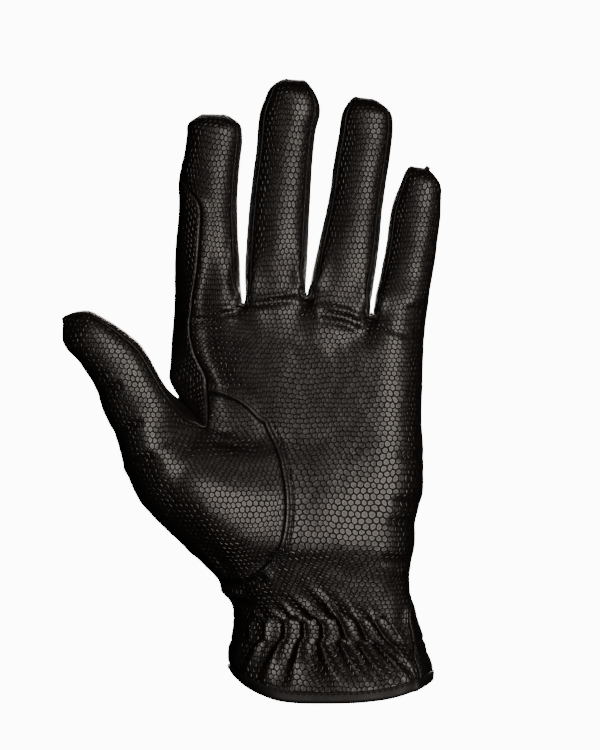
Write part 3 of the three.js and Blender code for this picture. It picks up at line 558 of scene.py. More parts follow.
on_index = [ring for ring in finger_rings[0] if ring["left"] and ring["at"] < tongue_places[-1]]
apex = finger_rings[0][len(on_index)]["front"][0]
panels = {
    "palm_panel": [cut(front, 0, foot_row, 0, right_column),
                   cut(front, foot_row, seam_top_row, seam_column, right_column),
                   cut(front, seam_top_row, top_row, thumb_columns, right_column)]
    + [strips(rings, "front") for rings in finger_rings],
    "back_panel": [turned(cut(back, 0, foot_row, 0, right_column)),
                   turned(cut(back, foot_row, top_row, thumb_columns, right_column))]
    + [turned(strips(rings, "back")) for rings in finger_rings],
    "thumb_front": [cut(front, foot_row, crotch_row, 0, seam_column),
                    cut(front, crotch_row, seam_top_row, thumb_columns, seam_column),
                    strips(thumb_rings, "front")],
    "thumb_back": [turned(cut(back, foot_row, crotch_row, 0, thumb_columns)),
                   turned(strips(thumb_rings, "back"))],
    "thumb_gusset": [turned(gusset), turned([ring["left"] for ring in on_index] + [[apex] * 4]),
                     strips(thumb_rings, "right")],
    "fourchette_index_middle": fourchette(finger_rings[0], finger_rings[1]),
    "fourchette_middle_ring": fourchette(finger_rings[1], finger_rings[2]),
    "fourchette_ring_little": fourchette(finger_rings[2], finger_rings[3]),
}


# The skin as a mesh: each patch starts as a flat grid whose points are moved to their places, the patches
# are merged along the rows they share, and the whole is smoothed.
def leave_edit():
    bpy.ops.object.mode_set(mode="OBJECT")


def edit(choice):
    """Into edit mode with all or nothing selected."""
    bpy.ops.object.mode_set(mode="EDIT")
    bpy.ops.mesh.select_all(action=choice)


def pick(*chosen):
    """Only these objects are selected, and the first of them is the active one."""
    if bpy.context.object and bpy.context.object.mode != "OBJECT":
        leave_edit()
    bpy.ops.object.select_all(action="DESELECT")
    for one in chosen:
        one.select_set(True)
    if chosen:
        bpy.context.view_layer.objects.active = chosen[0]


def positions(obj):
    flat = np.empty(len(obj.data.vertices) * 3)
    obj.data.vertices.foreach_get("co", flat)
    return flat.reshape(-1, 3)


def move_points(obj, places):
    obj.data.vertices.foreach_set("co", np.asarray(places).ravel())
    obj.data.update()


pick()
patches = []
for name, grids in panels.items():
    cloth = bpy.data.materials.new(name)
    for rows in grids:
        nx, ny = len(rows[0]), len(rows)
        bpy.ops.mesh.primitive_grid_add(x_subdivisions=nx - 1, y_subdivisions=ny - 1, size=0.1)
        patch = bpy.context.object
        move_points(patch, [skin[p] / 1000 for row in rows for p in row])
        patch.data.materials.append(cloth)
        patches.append(patch)
pick(*patches)
bpy.ops.object.join()
hand = bpy.context.object
hand.name = "hand_skin"
edit("SELECT")
bpy.ops.mesh.remove_doubles(threshold=0.000002)
bpy.ops.mesh.normals_make_consistent(inside=False)
leave_edit()

# Smoothing draws a cage inwards, so the cage is let out until the smoothed skin passes through the points.
target = positions(hand)
smooth = hand.modifiers.new("smooth", "SUBSURF")
smooth.levels = smooth.render_levels = 2
for _ in range(4):
    shaped = hand.evaluated_get(bpy.context.evaluated_depsgraph_get())
    reached = positions(shaped)[:len(target)]
    move_points(hand, positions(hand) + 0.8 * (target - reached))

# Each panel is unwrapped flat, as it was cut, so the embossed grain runs over it as it does on the leather.
face_panel = np.empty(len(hand.data.polygons), dtype=int)
hand.data.polygons.foreach_get("material_index", face_panel)
edge_faces = {}
for polygon in hand.data.polygons:
    for key in polygon.edge_keys:
        edge_faces.setdefault(key, []).append(polygon.index)
for edge in hand.data.edges:
    pair = edge_faces[edge.key]
    edge.use_seam = len(pair) == 2 and bool(face_panel[pair[0]] != face_panel[pair[1]])
edit("SELECT")
bpy.ops.uv.unwrap(method="ANGLE_BASED", margin=0.01)
leave_edit()
smooth.levels = smooth.render_levels = 3
smooth.uv_smooth = "PRESERVE_BOUNDARIES"
bpy.ops.object.modifier_apply(modifier="smooth")

# The smoothed skin's points in millimetres, its outward directions, and how far each is from the seams.
mesh = hand.data
panel_names = [slot.name for slot in mesh.materials]
place_of = positions(hand) * 1000
outward = np.array([vector.vector[:] for vector in mesh.vertex_normals])
face_panel = np.empty(len(mesh.polygons), dtype=int)
mesh.polygons.foreach_get("material_index", face_panel)
loop_vertex = np.empty(len(mesh.loops), dtype=int)
mesh.loops.foreach_get("vertex_index", loop_vertex)
loop_edge = np.empty(len(mesh.loops), dtype=int)
mesh.loops.foreach_get("edge_index", loop_edge)
loop_panel = np.repeat(face_panel, [polygon.loop_total for polygon in mesh.polygons])
edge_ends = np.empty(len(mesh.edges) * 2, dtype=int)
mesh.edges.foreach_get("vertices", edge_ends)
edge_ends = edge_ends.reshape(-1, 2)

# An edge between two panels' faces is a seam, and one that has a single face is in the hem.
edge_low = np.full(len(mesh.edges), 99)
edge_high = np.full(len(mesh.edges), -1)
np.minimum.at(edge_low, loop_edge, loop_panel)
np.maximum.at(edge_high, loop_edge, loop_panel)
edge_uses = np.bincount(loop_edge, minlength=len(mesh.edges))
seam_edges = edge_low != edge_high
vertex_panel = np.full(len(mesh.vertices), -1)
np.maximum.at(vertex_panel, loop_vertex, loop_panel)


def distance_to(edges):
    """How far each point is from a line made of edges, tested every tenth of an edge."""
    a, b = place_of[edge_ends[edges][:, 0]], place_of[edge_ends[edges][:, 1]]
    points = np.concatenate([a + (b - a) * k / 10 for k in range(11)])
    tree = kdtree.KDTree(len(points))
    for i, point in enumerate(points):
        tree.insert(point, i)
    tree.balance()
    return np.array([tree.find(point)[2] for point in place_of])


to_seam = distance_to(seam_edges)
to_hem = distance_to(edge_uses == 1)
pair_of = {name: i for i, name in enumerate(panel_names)}
thumb_pair = (edge_low == min(pair_of["palm_panel"], pair_of["thumb_front"])) & (
    edge_high == max(pair_of["palm_panel"], pair_of["thumb_front"]))
to_thumb_seam = distance_to(thumb_pair)


def bell(value, middle, width):
    return np.exp(-((value - middle) / width) ** 2)


# A seam is turned inwards: its edge sinks in a groove and the leather beside it rolls up a little. The palm
# laps over the thumb's mound: a narrow roll lies along its edge, then a band, then a second row of stitches.
x, y, z = place_of.T
crinkle = np.array([noise.noise(Vector(point) / 2.6) for point in place_of])
roll_up = np.where(z < 40, 0.35 * np.abs(crinkle) + 0.2, 0.02 + 0.07 * crinkle)
groove = np.interp(z, [36, 46], [0.3, 0.15])
relief_mm = -groove * bell(to_seam, 0, 0.45) + roll_up * bell(to_seam, 1.0, 0.5)
palm_lap = (vertex_panel == pair_of["palm_panel"]) * 1.0
plain_seam = np.interp(z, [98, 108], [1.0, 0.2])
lap_profile = [
    dict(away=0.8, height=0.16, width=0.4),
    dict(away=1.6, height=-0.2, width=0.35),
    dict(away=2.3, height=0.2, width=0.5),
    dict(away=3.0, height=-0.25, width=0.35),
    dict(away=3.9, height=0.14, width=0.7),
]
for roll in lap_profile:
    relief_mm += palm_lap * plain_seam * roll["height"] * bell(to_thumb_seam, roll["away"], roll["width"])

# Creases, as wear leaves them. Each has its line as seen from the palm, in pixels of a view of 600 by 750,
# its depth and width in millimetres, and how much the leather beside it stands up.
pixel = 0.38
middle_px = 331
ground_py = 700


def seen_x(px):
    return (px - middle_px) * pixel


def seen_z(py):
    return (ground_py - py) * pixel


creases = [
    dict(depth=1.1, width=1.1, stand=0.7, line=[(194, 321), (208, 319), (222, 316), (236, 312)]),
    dict(depth=0.5, width=0.8, stand=0.5, line=[(204, 312), (218, 311), (232, 313)]),
    dict(depth=1.0, width=1.2, stand=0.5, line=[(250, 306), (262, 304), (276, 302), (294, 300)]),
    dict(depth=1.2, width=1.2, stand=0.8, line=[(322, 314), (336, 316), (346, 318), (358, 323)]),
    dict(depth=1.8, width=2.0, stand=0.0, line=[(243, 296), (242, 306), (237, 311)]),
    dict(depth=1.8, width=2.2, stand=0.0, line=[(307, 294), (305, 302), (301, 307)]),
    dict(depth=1.8, width=2.4, stand=0.0, line=[(371, 308), (369, 318), (364, 325)]),
    dict(depth=1.3, width=5.0, stand=0.0, line=[(243, 284), (242, 300), (236, 314)]),
    dict(depth=1.5, width=5.5, stand=0.0, line=[(307, 280), (306, 298), (300, 318)]),
    dict(depth=1.5, width=5.5, stand=0.0, line=[(372, 290), (371, 312), (362, 334), (340, 344)]),
    dict(depth=0.45, width=1.6, stand=0.2, line=[(372, 318), (392, 330), (424, 341)]),
    dict(depth=1.7, width=1.7, stand=0.6, line=[(198, 556), (210, 570), (222, 583), (244, 585), (262, 577)]),
    dict(depth=0.8, width=1.5, stand=0.3, line=[(214, 596), (228, 600), (250, 604)]),
    dict(depth=0.9, width=1.3, stand=0.25, line=[(96, 394), (106, 391), (120, 386)]),
    dict(depth=0.8, width=1.3, stand=0.25, line=[(112, 432), (124, 429), (140, 422)]),
    dict(depth=0.8, width=1.4, stand=0.25, line=[(122, 465), (134, 462), (150, 455)]),
    dict(depth=0.6, width=1.6, stand=0.2, line=[(428, 458), (418, 456), (400, 454)]),
    dict(depth=0.8, width=1.8, stand=0.2, line=[(426, 505), (416, 503), (398, 500)]),
    dict(depth=0.6, width=1.6, stand=0.2, line=[(416, 524), (406, 523), (392, 521)]),
    dict(depth=0.8, width=1.8, stand=0.2, line=[(414, 560), (404, 560), (386, 559)]),
    dict(depth=0.5, width=0.9, stand=0.5, line=[(212, 428), (222, 432), (234, 433)]),
    dict(depth=0.35, width=1.0, stand=0.3, line=[(214, 440), (226, 443), (240, 446)]),
]
facing = np.clip(-outward[:, 1] * 1.6 + 0.25, 0, 1)
for crease in creases:
    width_mm = crease["width"]
    corners = np.array([(seen_x(px), seen_z(py)) for px, py in crease["line"]])
    away = np.full(len(place_of), 1e9)
    along = np.zeros(len(place_of))
    lengths = np.linalg.norm(np.diff(corners, axis=0), axis=1)
    total = lengths.sum()
    done = 0.0
    flat = place_of[:, (0, 2)]
    for a, b, length in zip(corners[:-1], corners[1:], lengths):
        t = np.clip(((flat - a) @ (b - a)) / length ** 2, 0, 1)
        gap = np.linalg.norm(flat - (a + t[:, None] * (b - a)), axis=1)
        nearer = gap < away
        away = np.where(nearer, gap, away)
        along = np.where(nearer, (done + t * length) / total, along)
        done += length
    taper = np.sqrt(np.clip(np.sin(np.pi * (0.08 + 0.84 * along)), 0, 1))
    beside = crease["stand"] * bell(away, 1.9 * width_mm, width_mm)
    relief_mm += facing * taper * crease["depth"] * (beside - bell(away, 0, width_mm))

# The gathers: elastic is sewn behind the cuff in two rows and draws the leather into ridges and valleys.
# The way round the cuff is measured on its rounded section, from the middle of its front.
cuff_low = np.array([column(outline, "mid_up", i) * palm_length for i in range(cuff_rows)])
cuff_left = np.array([outline[i]["left"] * palm_width for i in range(cuff_rows)])
cuff_right = np.array([outline[i]["right"] * palm_width for i in range(cuff_rows)])
cuff_half_width = 36
cuff_half_depth = 22
gather_pitch = 7.4
turn = np.linspace(-math.pi, math.pi, 721)
unit = (np.abs(np.sin(turn)) ** roundness + np.abs(np.cos(turn)) ** roundness) ** (-1 / roundness)
section_x = cuff_half_width * unit * np.sin(turn)
section_y = -cuff_half_depth * unit * np.cos(turn)
steps_round = np.hypot(np.diff(section_x), np.diff(section_y))
way = np.concatenate([[0], np.cumsum(steps_round)])
way -= way[360]


def way_round(x, y, z):
    left, right = np.interp(z, cuff_low, cuff_left), np.interp(z, cuff_low, cuff_right)
    u, v = (x - (left + right) / 2) / ((right - left) / 2), y / cuff_half_depth
    return np.interp(np.arctan2(u, -v), turn, way)


def crest_ways(pixels, strengths, height, seed):
    """The crests' ways round the cuff and their strengths, as seen in front and at random round the back."""
    front = np.nonzero((np.abs(z - height) < 0.8) & (y < 0))[0]
    front = front[np.argsort(x[front])]
    ways = list(np.interp([seen_x(px) for px in pixels], x[front], round_way[front]))
    strengths = list(strengths)
    chance = np.random.default_rng(seed)
    while ways[-1] < way[-1]:
        ways.append(ways[-1] + gather_pitch * chance.uniform(0.85, 1.15))
        strengths.append(chance.uniform(0.6, 1.1))
    while ways[0] > way[0]:
        ways.insert(0, ways[0] - gather_pitch * chance.uniform(0.85, 1.15))
        strengths.insert(0, chance.uniform(0.6, 1.1))
    return np.array(ways), np.array(strengths)


high_row, low_row = seen_z(617.5), seen_z(640.0)
round_way = way_round(x, y, z)
high_crests, high_strengths = crest_ways([264, 284, 303, 322, 342, 361.5, 378, 394],
                                         [0.7, 0.9, 1.1, 1.1, 1.1, 0.95, 0.8, 0.8], height=27, seed=3)
low_crests, low_strengths = crest_ways([278, 298.5, 319, 340, 359, 377, 393],
                                       [1.0, 1.2, 0.95, 0.65, 0.55, 0.6, 0.5], height=20, seed=5)
fold_crests, fold_strengths = crest_ways([278, 296, 315, 338, 357, 374, 390],
                                         [0.35, 0.7, 0.9, 1.25, 0.4, 0.35, 0.3], height=30, seed=7)


def gathered(ways, crests, strengths, valley, ridge, sharp=1.1):
    """Height of the gathers: a crest is a ridge that falls gently to its right and steeply to its left."""
    phase = np.clip(np.interp(ways, crests, np.arange(len(crests))), 0, len(crests) - 1.001)
    index = np.floor(phase).astype(int)
    part = phase - index
    share = np.where(part < valley, part / valley, (1 - part) / (1 - valley))
    strength = np.where(part < valley, strengths[index], strengths[index + 1])
    broad = (np.cos(np.pi * share) * 0.5 + 0.5) ** sharp
    narrow = np.exp(-((share * np.where(part < valley, valley, 1 - valley) / 0.13) ** 2))
    return strength * ((1 - ridge) * broad + ridge * narrow - 0.34)


def stepped(value, low, high):
    t = np.clip((value - low) / (high - low), 0, 1)
    return t * t * (3 - 2 * t)


# The gathers of one stretch stand between those of the next, so they meet in a zigzag along each elastic.
quiet_sides = np.interp(round_way, [-95, -60, -47, -35, -23, 26, 31, 46, 60, 95],
                        [1, 0.9, 0.22, 0.25, 1, 1, 0.3, 0.2, 1, 1])
zigzag = 1.5 * gathered(round_way, high_crests, high_strengths, valley=0.6, ridge=0)
between_way = round_way - 0.12 * (high_row - z)
between_height = 1.7 * gathered(between_way, high_crests, high_strengths, valley=0.7, ridge=0.5, sharp=2.0)

below = np.clip(low_row - z, 0, 30)
lean_at = [-60, -25, -12, -4, 5, 25, 60]
lean_by = [-0.1, -0.2, 0.0, 0.45, 0.45, 0.35, 0.1]
# A ruffle leans as it falls, so each point looks for the way round at which its own ruffle starts.
start_way = round_way.copy()
for _ in range(14):
    start_way += 0.6 * (round_way - start_way - np.interp(start_way, lean_at, lean_by) * below)
fall = np.interp(below, [0, 4, 12, 17.5], [0.95, 1.0, 0.5, 0.06])
opening = np.interp(below, [0, 3, 8, 14], [2.8, 2.2, 1.3, 1.0])
ruffles = gathered(start_way, low_crests, low_strengths, valley=0.6, ridge=0.1, sharp=opening)
ruffle_height = 2.2 * fall * ruffles

above = np.clip(z - high_row, 0, 60)
up_lean = np.interp(round_way, [-60, -30, -16, 14, 26, 40, 110],
                    [0.2, -0.3, -0.7, -0.75, -0.4, 0.1, 0.1])
fade = np.interp(round_way, [-60, -30, -18, 0, 10, 22, 110], [2.6, 3.0, 5.0, 9.0, 6.5, 3.0, 2.6])
fold_way = round_way - up_lean * above
folds = gathered(fold_way, fold_crests, fold_strengths, valley=0.5, ridge=0, sharp=1.5)
fold_height = 1.45 * np.exp(-((above / fade) ** 2)) * folds

in_ruffle = stepped(low_row - z + zigzag, -1.3, 1.3)
in_fold = stepped(z - high_row + zigzag, -1.3, 1.3)
in_between = (1 - in_ruffle) * (1 - in_fold)
gather_height = between_height * in_between + ruffle_height * in_ruffle + fold_height * in_fold
relief_mm += quiet_sides * gather_height
for row in (high_row, low_row):
    relief_mm -= 0.12 * bell(z, row, 0.7)

# Soft unevenness, as worn leather has.
uneven = np.array([noise.noise(Vector(point) / 9.0) + 0.5 * noise.noise(Vector(point) / 4.0)
                   for point in place_of])
relief_mm += 0.16 * uneven
place_of = place_of + outward * relief_mm[:, None] * np.clip(to_hem / 4, 0.12, 1)[:, None]
move_points(hand, place_of / 1000)
outward = np.array([vector.vector[:] for vector in mesh.vertex_normals])
skin_tree = BVHTree.FromPolygons([Vector(p) for p in place_of],
                                 [list(polygon.vertices) for polygon in mesh.polygons])

# The hem's loop, in order, kept for the binding.
hem_links = {}
for a, b in edge_ends[edge_uses == 1]:
    hem_links.setdefault(int(a), []).append(int(b))
    hem_links.setdefault(int(b), []).append(int(a))
hem_loop = [min(hem_links)]
while len(hem_loop) < len(hem_links):
    hem_loop.append(next(n for n in hem_links[hem_loop[-1]] if n not in hem_loop[-2:] and n != hem_loop[0]
                         or len(hem_loop) == 1))
hem_ring = place_of[hem_loop]
hem_out = outward[hem_loop]

# The flat cut of each panel carries its grain. The scales' width and height in millimetres change up the
# glove: they are larger on the heel of the palm, and longer than wide on the fingers.
grain_sizes = [
    dict(up=0, wide=2.1, tall=2.3),
    dict(up=25, wide=2.1, tall=2.3),
    dict(up=45, wide=2.3, tall=2.3),
    dict(up=60, wide=2.6, tall=2.6),
    dict(up=80, wide=2.5, tall=2.6),
    dict(up=110, wide=2.2, tall=2.2),
    dict(up=135, wide=1.9, tall=2.1),
    dict(up=150, wide=1.65, tall=2.25),
    dict(up=235, wide=1.6, tall=2.3),
]
grain_ups = [size["up"] for size in grain_sizes]
uv_flat = np.empty(len(mesh.loops) * 2)
mesh.uv_layers[0].data.foreach_get("uv", uv_flat)
uv_flat = uv_flat.reshape(-1, 2)
grain = np.zeros_like(uv_flat)
face_corners = np.array([polygon.loop_start for polygon in mesh.polygons])
for i, name in enumerate(panel_names):
    loops = np.nonzero(loop_panel == i)[0]
    starts = face_corners[face_panel == i]
    quad = np.stack([starts + k for k in range(4)], axis=1)
    corner_p = place_of[loop_vertex[quad]]
    corner_uv = uv_flat[quad]
    diagonals = np.cross(corner_p[:, 2] - corner_p[:, 0], corner_p[:, 3] - corner_p[:, 1])
    area = 0.5 * np.linalg.norm(diagonals, axis=1)
    d1, d2 = corner_uv[:, 2] - corner_uv[:, 0], corner_uv[:, 3] - corner_uv[:, 1]
    flat_area = 0.5 * np.abs(d1[:, 0] * d2[:, 1] - d1[:, 1] * d2[:, 0])
    stretch = math.sqrt(area.sum() / flat_area.sum())

    # Each cut is turned and sized, as complex numbers, to lie along the glove as it is sewn into it.
    w = uv_flat[loops] @ np.array([1, 1j])
    side = -1 if name in ("back_panel", "thumb_back") else 1
    p = side * place_of[loop_vertex[loops], 0] + 1j * place_of[loop_vertex[loops], 2]
    w, p_middle = w - w.mean(), p.mean()
    a = (np.conj(w) * (p - p_middle)).sum()
    if name.startswith("fourchette"):
        a = 1j / np.sqrt((w ** 2).sum())
    w = w * (a / abs(a)) * stretch + p_middle
    up_places = np.linspace(-60, 300, 361)
    wide = np.interp(up_places, grain_ups, [size["wide"] for size in grain_sizes])
    tall = np.interp(up_places, grain_ups, [size["tall"] for size in grain_sizes])
    if name.startswith(("thumb", "fourchette")):
        wide, tall = np.full_like(wide, 2.0), np.full_like(tall, 2.2)
    cells_up = np.concatenate([[0], np.cumsum(1 / tall[1:])])
    grain[loops, 0] = 200 + w.real / np.interp(w.imag, up_places, wide)
    grain[loops, 1] = 200 + np.interp(w.imag, up_places, cells_up)
mesh.uv_layers[0].data.foreach_set("uv", grain.ravel())
mesh.uv_layers[0].name = "grain"
seam_way = mesh.attributes.new("seam_way", "FLOAT", "POINT")
seam_way.data.foreach_set("value", np.clip(to_seam, 0, 9))
lap_way = mesh.attributes.new("lap_way", "FLOAT", "POINT")
lap_way.data.foreach_set("value", np.where(palm_lap > 0, np.clip(to_thumb_seam, 0, 9), 9.0))


# The look of the embossed synthetic leather: rounded scales in rows like a honeycomb, drawn out of true by
# the stretch of the leather, each a little dished, with painted shade in the narrow grooves between them.
class Nodes:
    """A short way to lay out a material's nodes by hand."""

    def __init__(self, name):
        self.material = bpy.data.materials.new(name)
        self.material.use_nodes = True
        self.tree = self.material.node_tree
        self.shader = self.tree.nodes["Principled BSDF"]

    def plug(self, value, socket):
        """A link where the value comes from another node, a setting where it is a number or a colour."""
        if isinstance(value, bpy.types.NodeSocket):
            self.tree.links.new(value, socket)
        elif value is not None:
            socket.default_value = value

    def node(self, kind, *inputs, **settings):
        node = self.tree.nodes.new(kind)
        for key, value in settings.items():
            setattr(node, key, value)
        for socket, value in zip(node.inputs, inputs):
            self.plug(value, socket)
        return node

    def add(self, kind, *inputs, **settings):
        return self.node(kind, *inputs, **settings).outputs[0]

    def math(self, operation, *inputs):
        return self.add("ShaderNodeMath", *inputs, operation=operation)

    def vector(self, operation, *inputs):
        return self.add("ShaderNodeVectorMath", *inputs, operation=operation)

    def ramp(self, value, low, high, out_low=0.0, out_high=1.0):
        return self.add("ShaderNodeMapRange", value, low, high, out_low, out_high,
                        interpolation_type="SMOOTHSTEP")

    def cloud(self, vector, scale, detail):
        node = self.node("ShaderNodeTexNoise", vector)
        node.inputs["Scale"].default_value = scale
        node.inputs["Detail"].default_value = detail
        return node

    def attribute(self, name):
        return self.node("ShaderNodeAttribute", attribute_name=name).outputs["Fac"]

    def length(self, vector):
        return self.node("ShaderNodeVectorMath", vector, operation="LENGTH").outputs["Value"]

    def centred(self, value):
        """A value between 0 and 1 moved to lie about 0."""
        return self.math("SUBTRACT", value, 0.5)

    def line(self, value, middle, low, high, out_low=0.0):
        """A pressed line that runs where the value is at its middle."""
        return self.ramp(self.math("ABSOLUTE", self.math("SUBTRACT", value, middle)), low, high, out_low)

    def blend(self, factor, a, b):
        node = self.node("ShaderNodeMix", factor, data_type="RGBA")
        self.plug(a, node.inputs[6])
        self.plug(b, node.inputs[7])
        return node.outputs[2]

    def bump(self, height, distance, strength=1.0):
        node = self.node("ShaderNodeBump")
        node.inputs["Strength"].default_value = strength
        node.inputs["Distance"].default_value = distance
        self.plug(height, node.inputs["Height"])
        return node.outputs[0]

    def finish(self, **values):
        for key, value in values.items():
            self.plug(value, self.shader.inputs[key.replace("_", " ")])
        return self.material


def scaled_leather(name):
    n = Nodes(name)
    flat = n.add("ShaderNodeUVMap", uv_map="grain")
    slow = n.cloud(flat, 0.13, 1.0).outputs["Color"]
    quick = n.cloud(flat, 0.75, 0.0).outputs["Color"]
    middle = (0.5, 0.5, 0.5)
    pull = n.vector("MULTIPLY", n.vector("SUBTRACT", slow, middle), (1.7, 1.7, 0.0))
    jog = n.vector("MULTIPLY", n.vector("SUBTRACT", quick, middle), (0.42, 0.42, 0.0))
    in_plane = (1.0, 1.0, 0.0)
    p = n.vector("MULTIPLY", n.vector("ADD", n.vector("ADD", flat, pull), jog), in_plane)

    # Two sets of cells, one set back by half a step, make a honeycomb: a point belongs to the nearer middle.
    step = (1.0, math.sqrt(3), 1.0)
    half = (0.5, math.sqrt(3) / 2, 0.5)
    one = n.vector("SUBTRACT", n.vector("MODULO", p, step), half)
    two = n.vector("SUBTRACT", n.vector("MODULO", n.vector("SUBTRACT", p, half), step), half)
    one = n.vector("MULTIPLY", one, in_plane)
    two = n.vector("MULTIPLY", two, in_plane)
    nearer = n.math("LESS_THAN", n.length(one), n.length(two))
    choose = n.node("ShaderNodeMix", nearer, data_type="VECTOR")
    n.plug(two, choose.inputs[4])
    n.plug(one, choose.inputs[5])
    inside = choose.outputs[1]
    apart = n.node("ShaderNodeSeparateXYZ", n.vector("ABSOLUTE", inside))
    ax, ay = apart.outputs[0], apart.outputs[1]
    slant = n.math("ADD", n.math("MULTIPLY", ax, 0.5), n.math("MULTIPLY", ay, math.sqrt(3) / 2))
    hexagon = n.math("MAXIMUM", ax, slant)
    circle = n.math("MULTIPLY", n.length(inside), 0.92)
    shape = n.math("ADD", n.math("MULTIPLY", hexagon, 0.55), n.math("MULTIPLY", circle, 0.45))
    each = n.node("ShaderNodeTexWhiteNoise", n.vector("SUBTRACT", p, inside), noise_dimensions="2D")
    each = each.outputs["Value"]
    size = n.math("MULTIPLY", n.centred(each), 0.035)
    rim = n.math("ADD", n.math("SUBTRACT", 0.5, shape), size)
    top = n.ramp(rim, 0.01, 0.08)
    rounding = n.ramp(rim, 0.0, 0.14)
    dish = n.ramp(rim, 0.16, 0.42, 0.0, 0.15)
    rough_grain = n.math("MULTIPLY", n.cloud(flat, 9.0, 3.0).outputs["Fac"], 0.05)

    # Along the seams the leather is pressed: a fine dark line at the seam's joint, and on the palm one more
    # on each side of the roll along the thumb, where the darkening of the pressed grooves is painted shade.
    seam = n.attribute("seam_way")
    lap = n.attribute("lap_way")
    seam_line = n.ramp(seam, 0.06, 0.32)
    lap_line = n.line(lap, 1.55, 0.08, 0.4)
    row_line = n.line(lap, 2.95, 0.05, 0.35, 0.45)
    lines = n.math("MULTIPLY", n.math("MULTIPLY", seam_line, lap_line), row_line)
    pressed = n.math("MULTIPLY", n.ramp(seam, 0.3, 1.3), n.ramp(lap, 1.2, 1.9))
    height = n.math("ADD", n.math("SUBTRACT", rounding, dish), rough_grain)
    height = n.math("MULTIPLY", height, n.math("ADD", n.math("MULTIPLY", pressed, 0.65), 0.35))
    height = n.math("ADD", height, n.math("MULTIPLY", lines, 0.5))

    scale_colour = n.blend(n.ramp(each, 0.0, 1.0), (0.0062, 0.0050, 0.0043, 1), (0.0105, 0.0085, 0.0072, 1))
    # The grooves' darker colour is painted shade, standing in for the shadow the grooves hold.
    colour = n.blend(top, (0.0018, 0.0014, 0.0012, 1), scale_colour)
    # Dark along the seam's joint, and painted shade in the pressed grooves beside the thumb's roll.
    colour = n.blend(lines, (0.0018, 0.0015, 0.0013, 1), colour)
    uneven_gloss = n.math("MULTIPLY", n.centred(n.cloud(flat, 0.12, 2.0).outputs["Fac"]), 0.12)
    gloss = n.math("ADD", n.ramp(top, 0.0, 0.4, 0.7, 0.34), uneven_gloss)
    gloss = n.math("ADD", gloss, n.math("MULTIPLY", dish, 0.5))
    gloss = n.math("ADD", gloss, n.ramp(lines, 0.0, 1.0, 0.3, 0.0))
    bumped = n.bump(height, 0.00014)
    return n.finish(Base_Color=colour, Roughness=gloss, Normal=bumped, Specular_IOR_Level=0.5)


def plain_leather(name, colour, roughness, scale, distance):
    """A smooth surface with fine pores, and a little lighter and duller in clouds."""
    n = Nodes(name)
    where = n.node("ShaderNodeTexCoord").outputs["Object"]
    pores = n.node("ShaderNodeTexVoronoi", where)
    pores.inputs["Scale"].default_value = scale
    clouds = n.cloud(where, scale * 0.13, 4.0).outputs["Fac"]
    pale = tuple(c * 1.8 for c in colour[:3]) + (1,)
    gloss = n.ramp(clouds, 0.2, 0.8, roughness - 0.06, roughness + 0.08)
    bumped = n.bump(pores.outputs["Distance"], distance, 0.6)
    return n.finish(Base_Color=n.blend(clouds, colour, pale), Roughness=gloss, Normal=bumped,
                    Specular_IOR_Level=0.45)


leather = scaled_leather("black_scaled_leather")
inner_side = plain_leather("inner_side", (0.028, 0.026, 0.025, 1), roughness=0.86, scale=2400,
                           distance=0.00008)

# The hand is cut along its seams into its panels, and each gets its leather's thickness towards the inside.
leather_thickness = 0.0012
pick(hand)
edit("SELECT")
bpy.ops.mesh.separate(type="MATERIAL")
leave_edit()
pieces = [obj for obj in bpy.context.selected_objects if obj.type == "MESH"]
for piece in pieces:
    panel = piece.data.materials[piece.data.polygons[0].material_index].name
    piece.name = panel + "_leather"
    piece.data.name = piece.name
    piece.data.materials.clear()
    piece.data.materials.append(leather)
    piece.data.materials.append(inner_side)
    piece.data.polygons.foreach_set("material_index", np.zeros(len(piece.data.polygons), dtype=int))
    pick(piece)
    wall = piece.modifiers.new("wall", "SOLIDIFY")
    wall.thickness = leather_thickness
    wall.offset = -1
    wall.use_rim = True
    wall.material_offset = 1
    outer_faces = len(piece.data.polygons)
    bpy.ops.object.modifier_apply(modifier="wall")
    # The inner side is smooth and hardly seen, so it keeps two fifths of its faces.
    edit("DESELECT")
    leave_edit()
    chosen = np.zeros(len(piece.data.polygons), dtype=bool)
    chosen[outer_faces:2 * outer_faces] = True
    piece.data.polygons.foreach_set("select", chosen)
    bpy.ops.object.mode_set(mode="EDIT")
    bpy.ops.mesh.select_less()
    bpy.ops.mesh.vertices_smooth(factor=0.5, repeat=12)
    bpy.ops.mesh.select_more()
    bpy.ops.mesh.decimate(ratio=0.4)
    leave_edit()
    bpy.ops.object.shade_smooth()
    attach(piece, "root")
    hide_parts(panel)

# The binding: a smooth leather tape folded round the hem, inside and out, and stitched through near its
# upper edge. Its section, in millimetres out from the leather and down from the hem, runs round the hem.
binding_profile = [
    (0.15, -2.7), (0.45, -3.05), (0.85, -3.0), (1.0, -2.65), (1.08, -1.9), (1.14, -1.0), (1.12, -0.1),
    (1.02, 0.55), (0.75, 1.0), (0.2, 1.18), (-0.6, 1.22), (-1.4, 1.18), (-1.95, 1.0), (-2.3, 0.5),
    (-2.38, -0.4), (-2.35, -1.6), (-2.1, -2.2), (-1.7, -2.3), (-1.4, -2.0), (-1.4, 0.15), (0.15, 0.15),
]
ring_count = len(hem_ring)
hem_along = np.roll(hem_ring, -3, axis=0) - np.roll(hem_ring, 3, axis=0)
hem_along /= np.linalg.norm(hem_along, axis=1)[:, None]

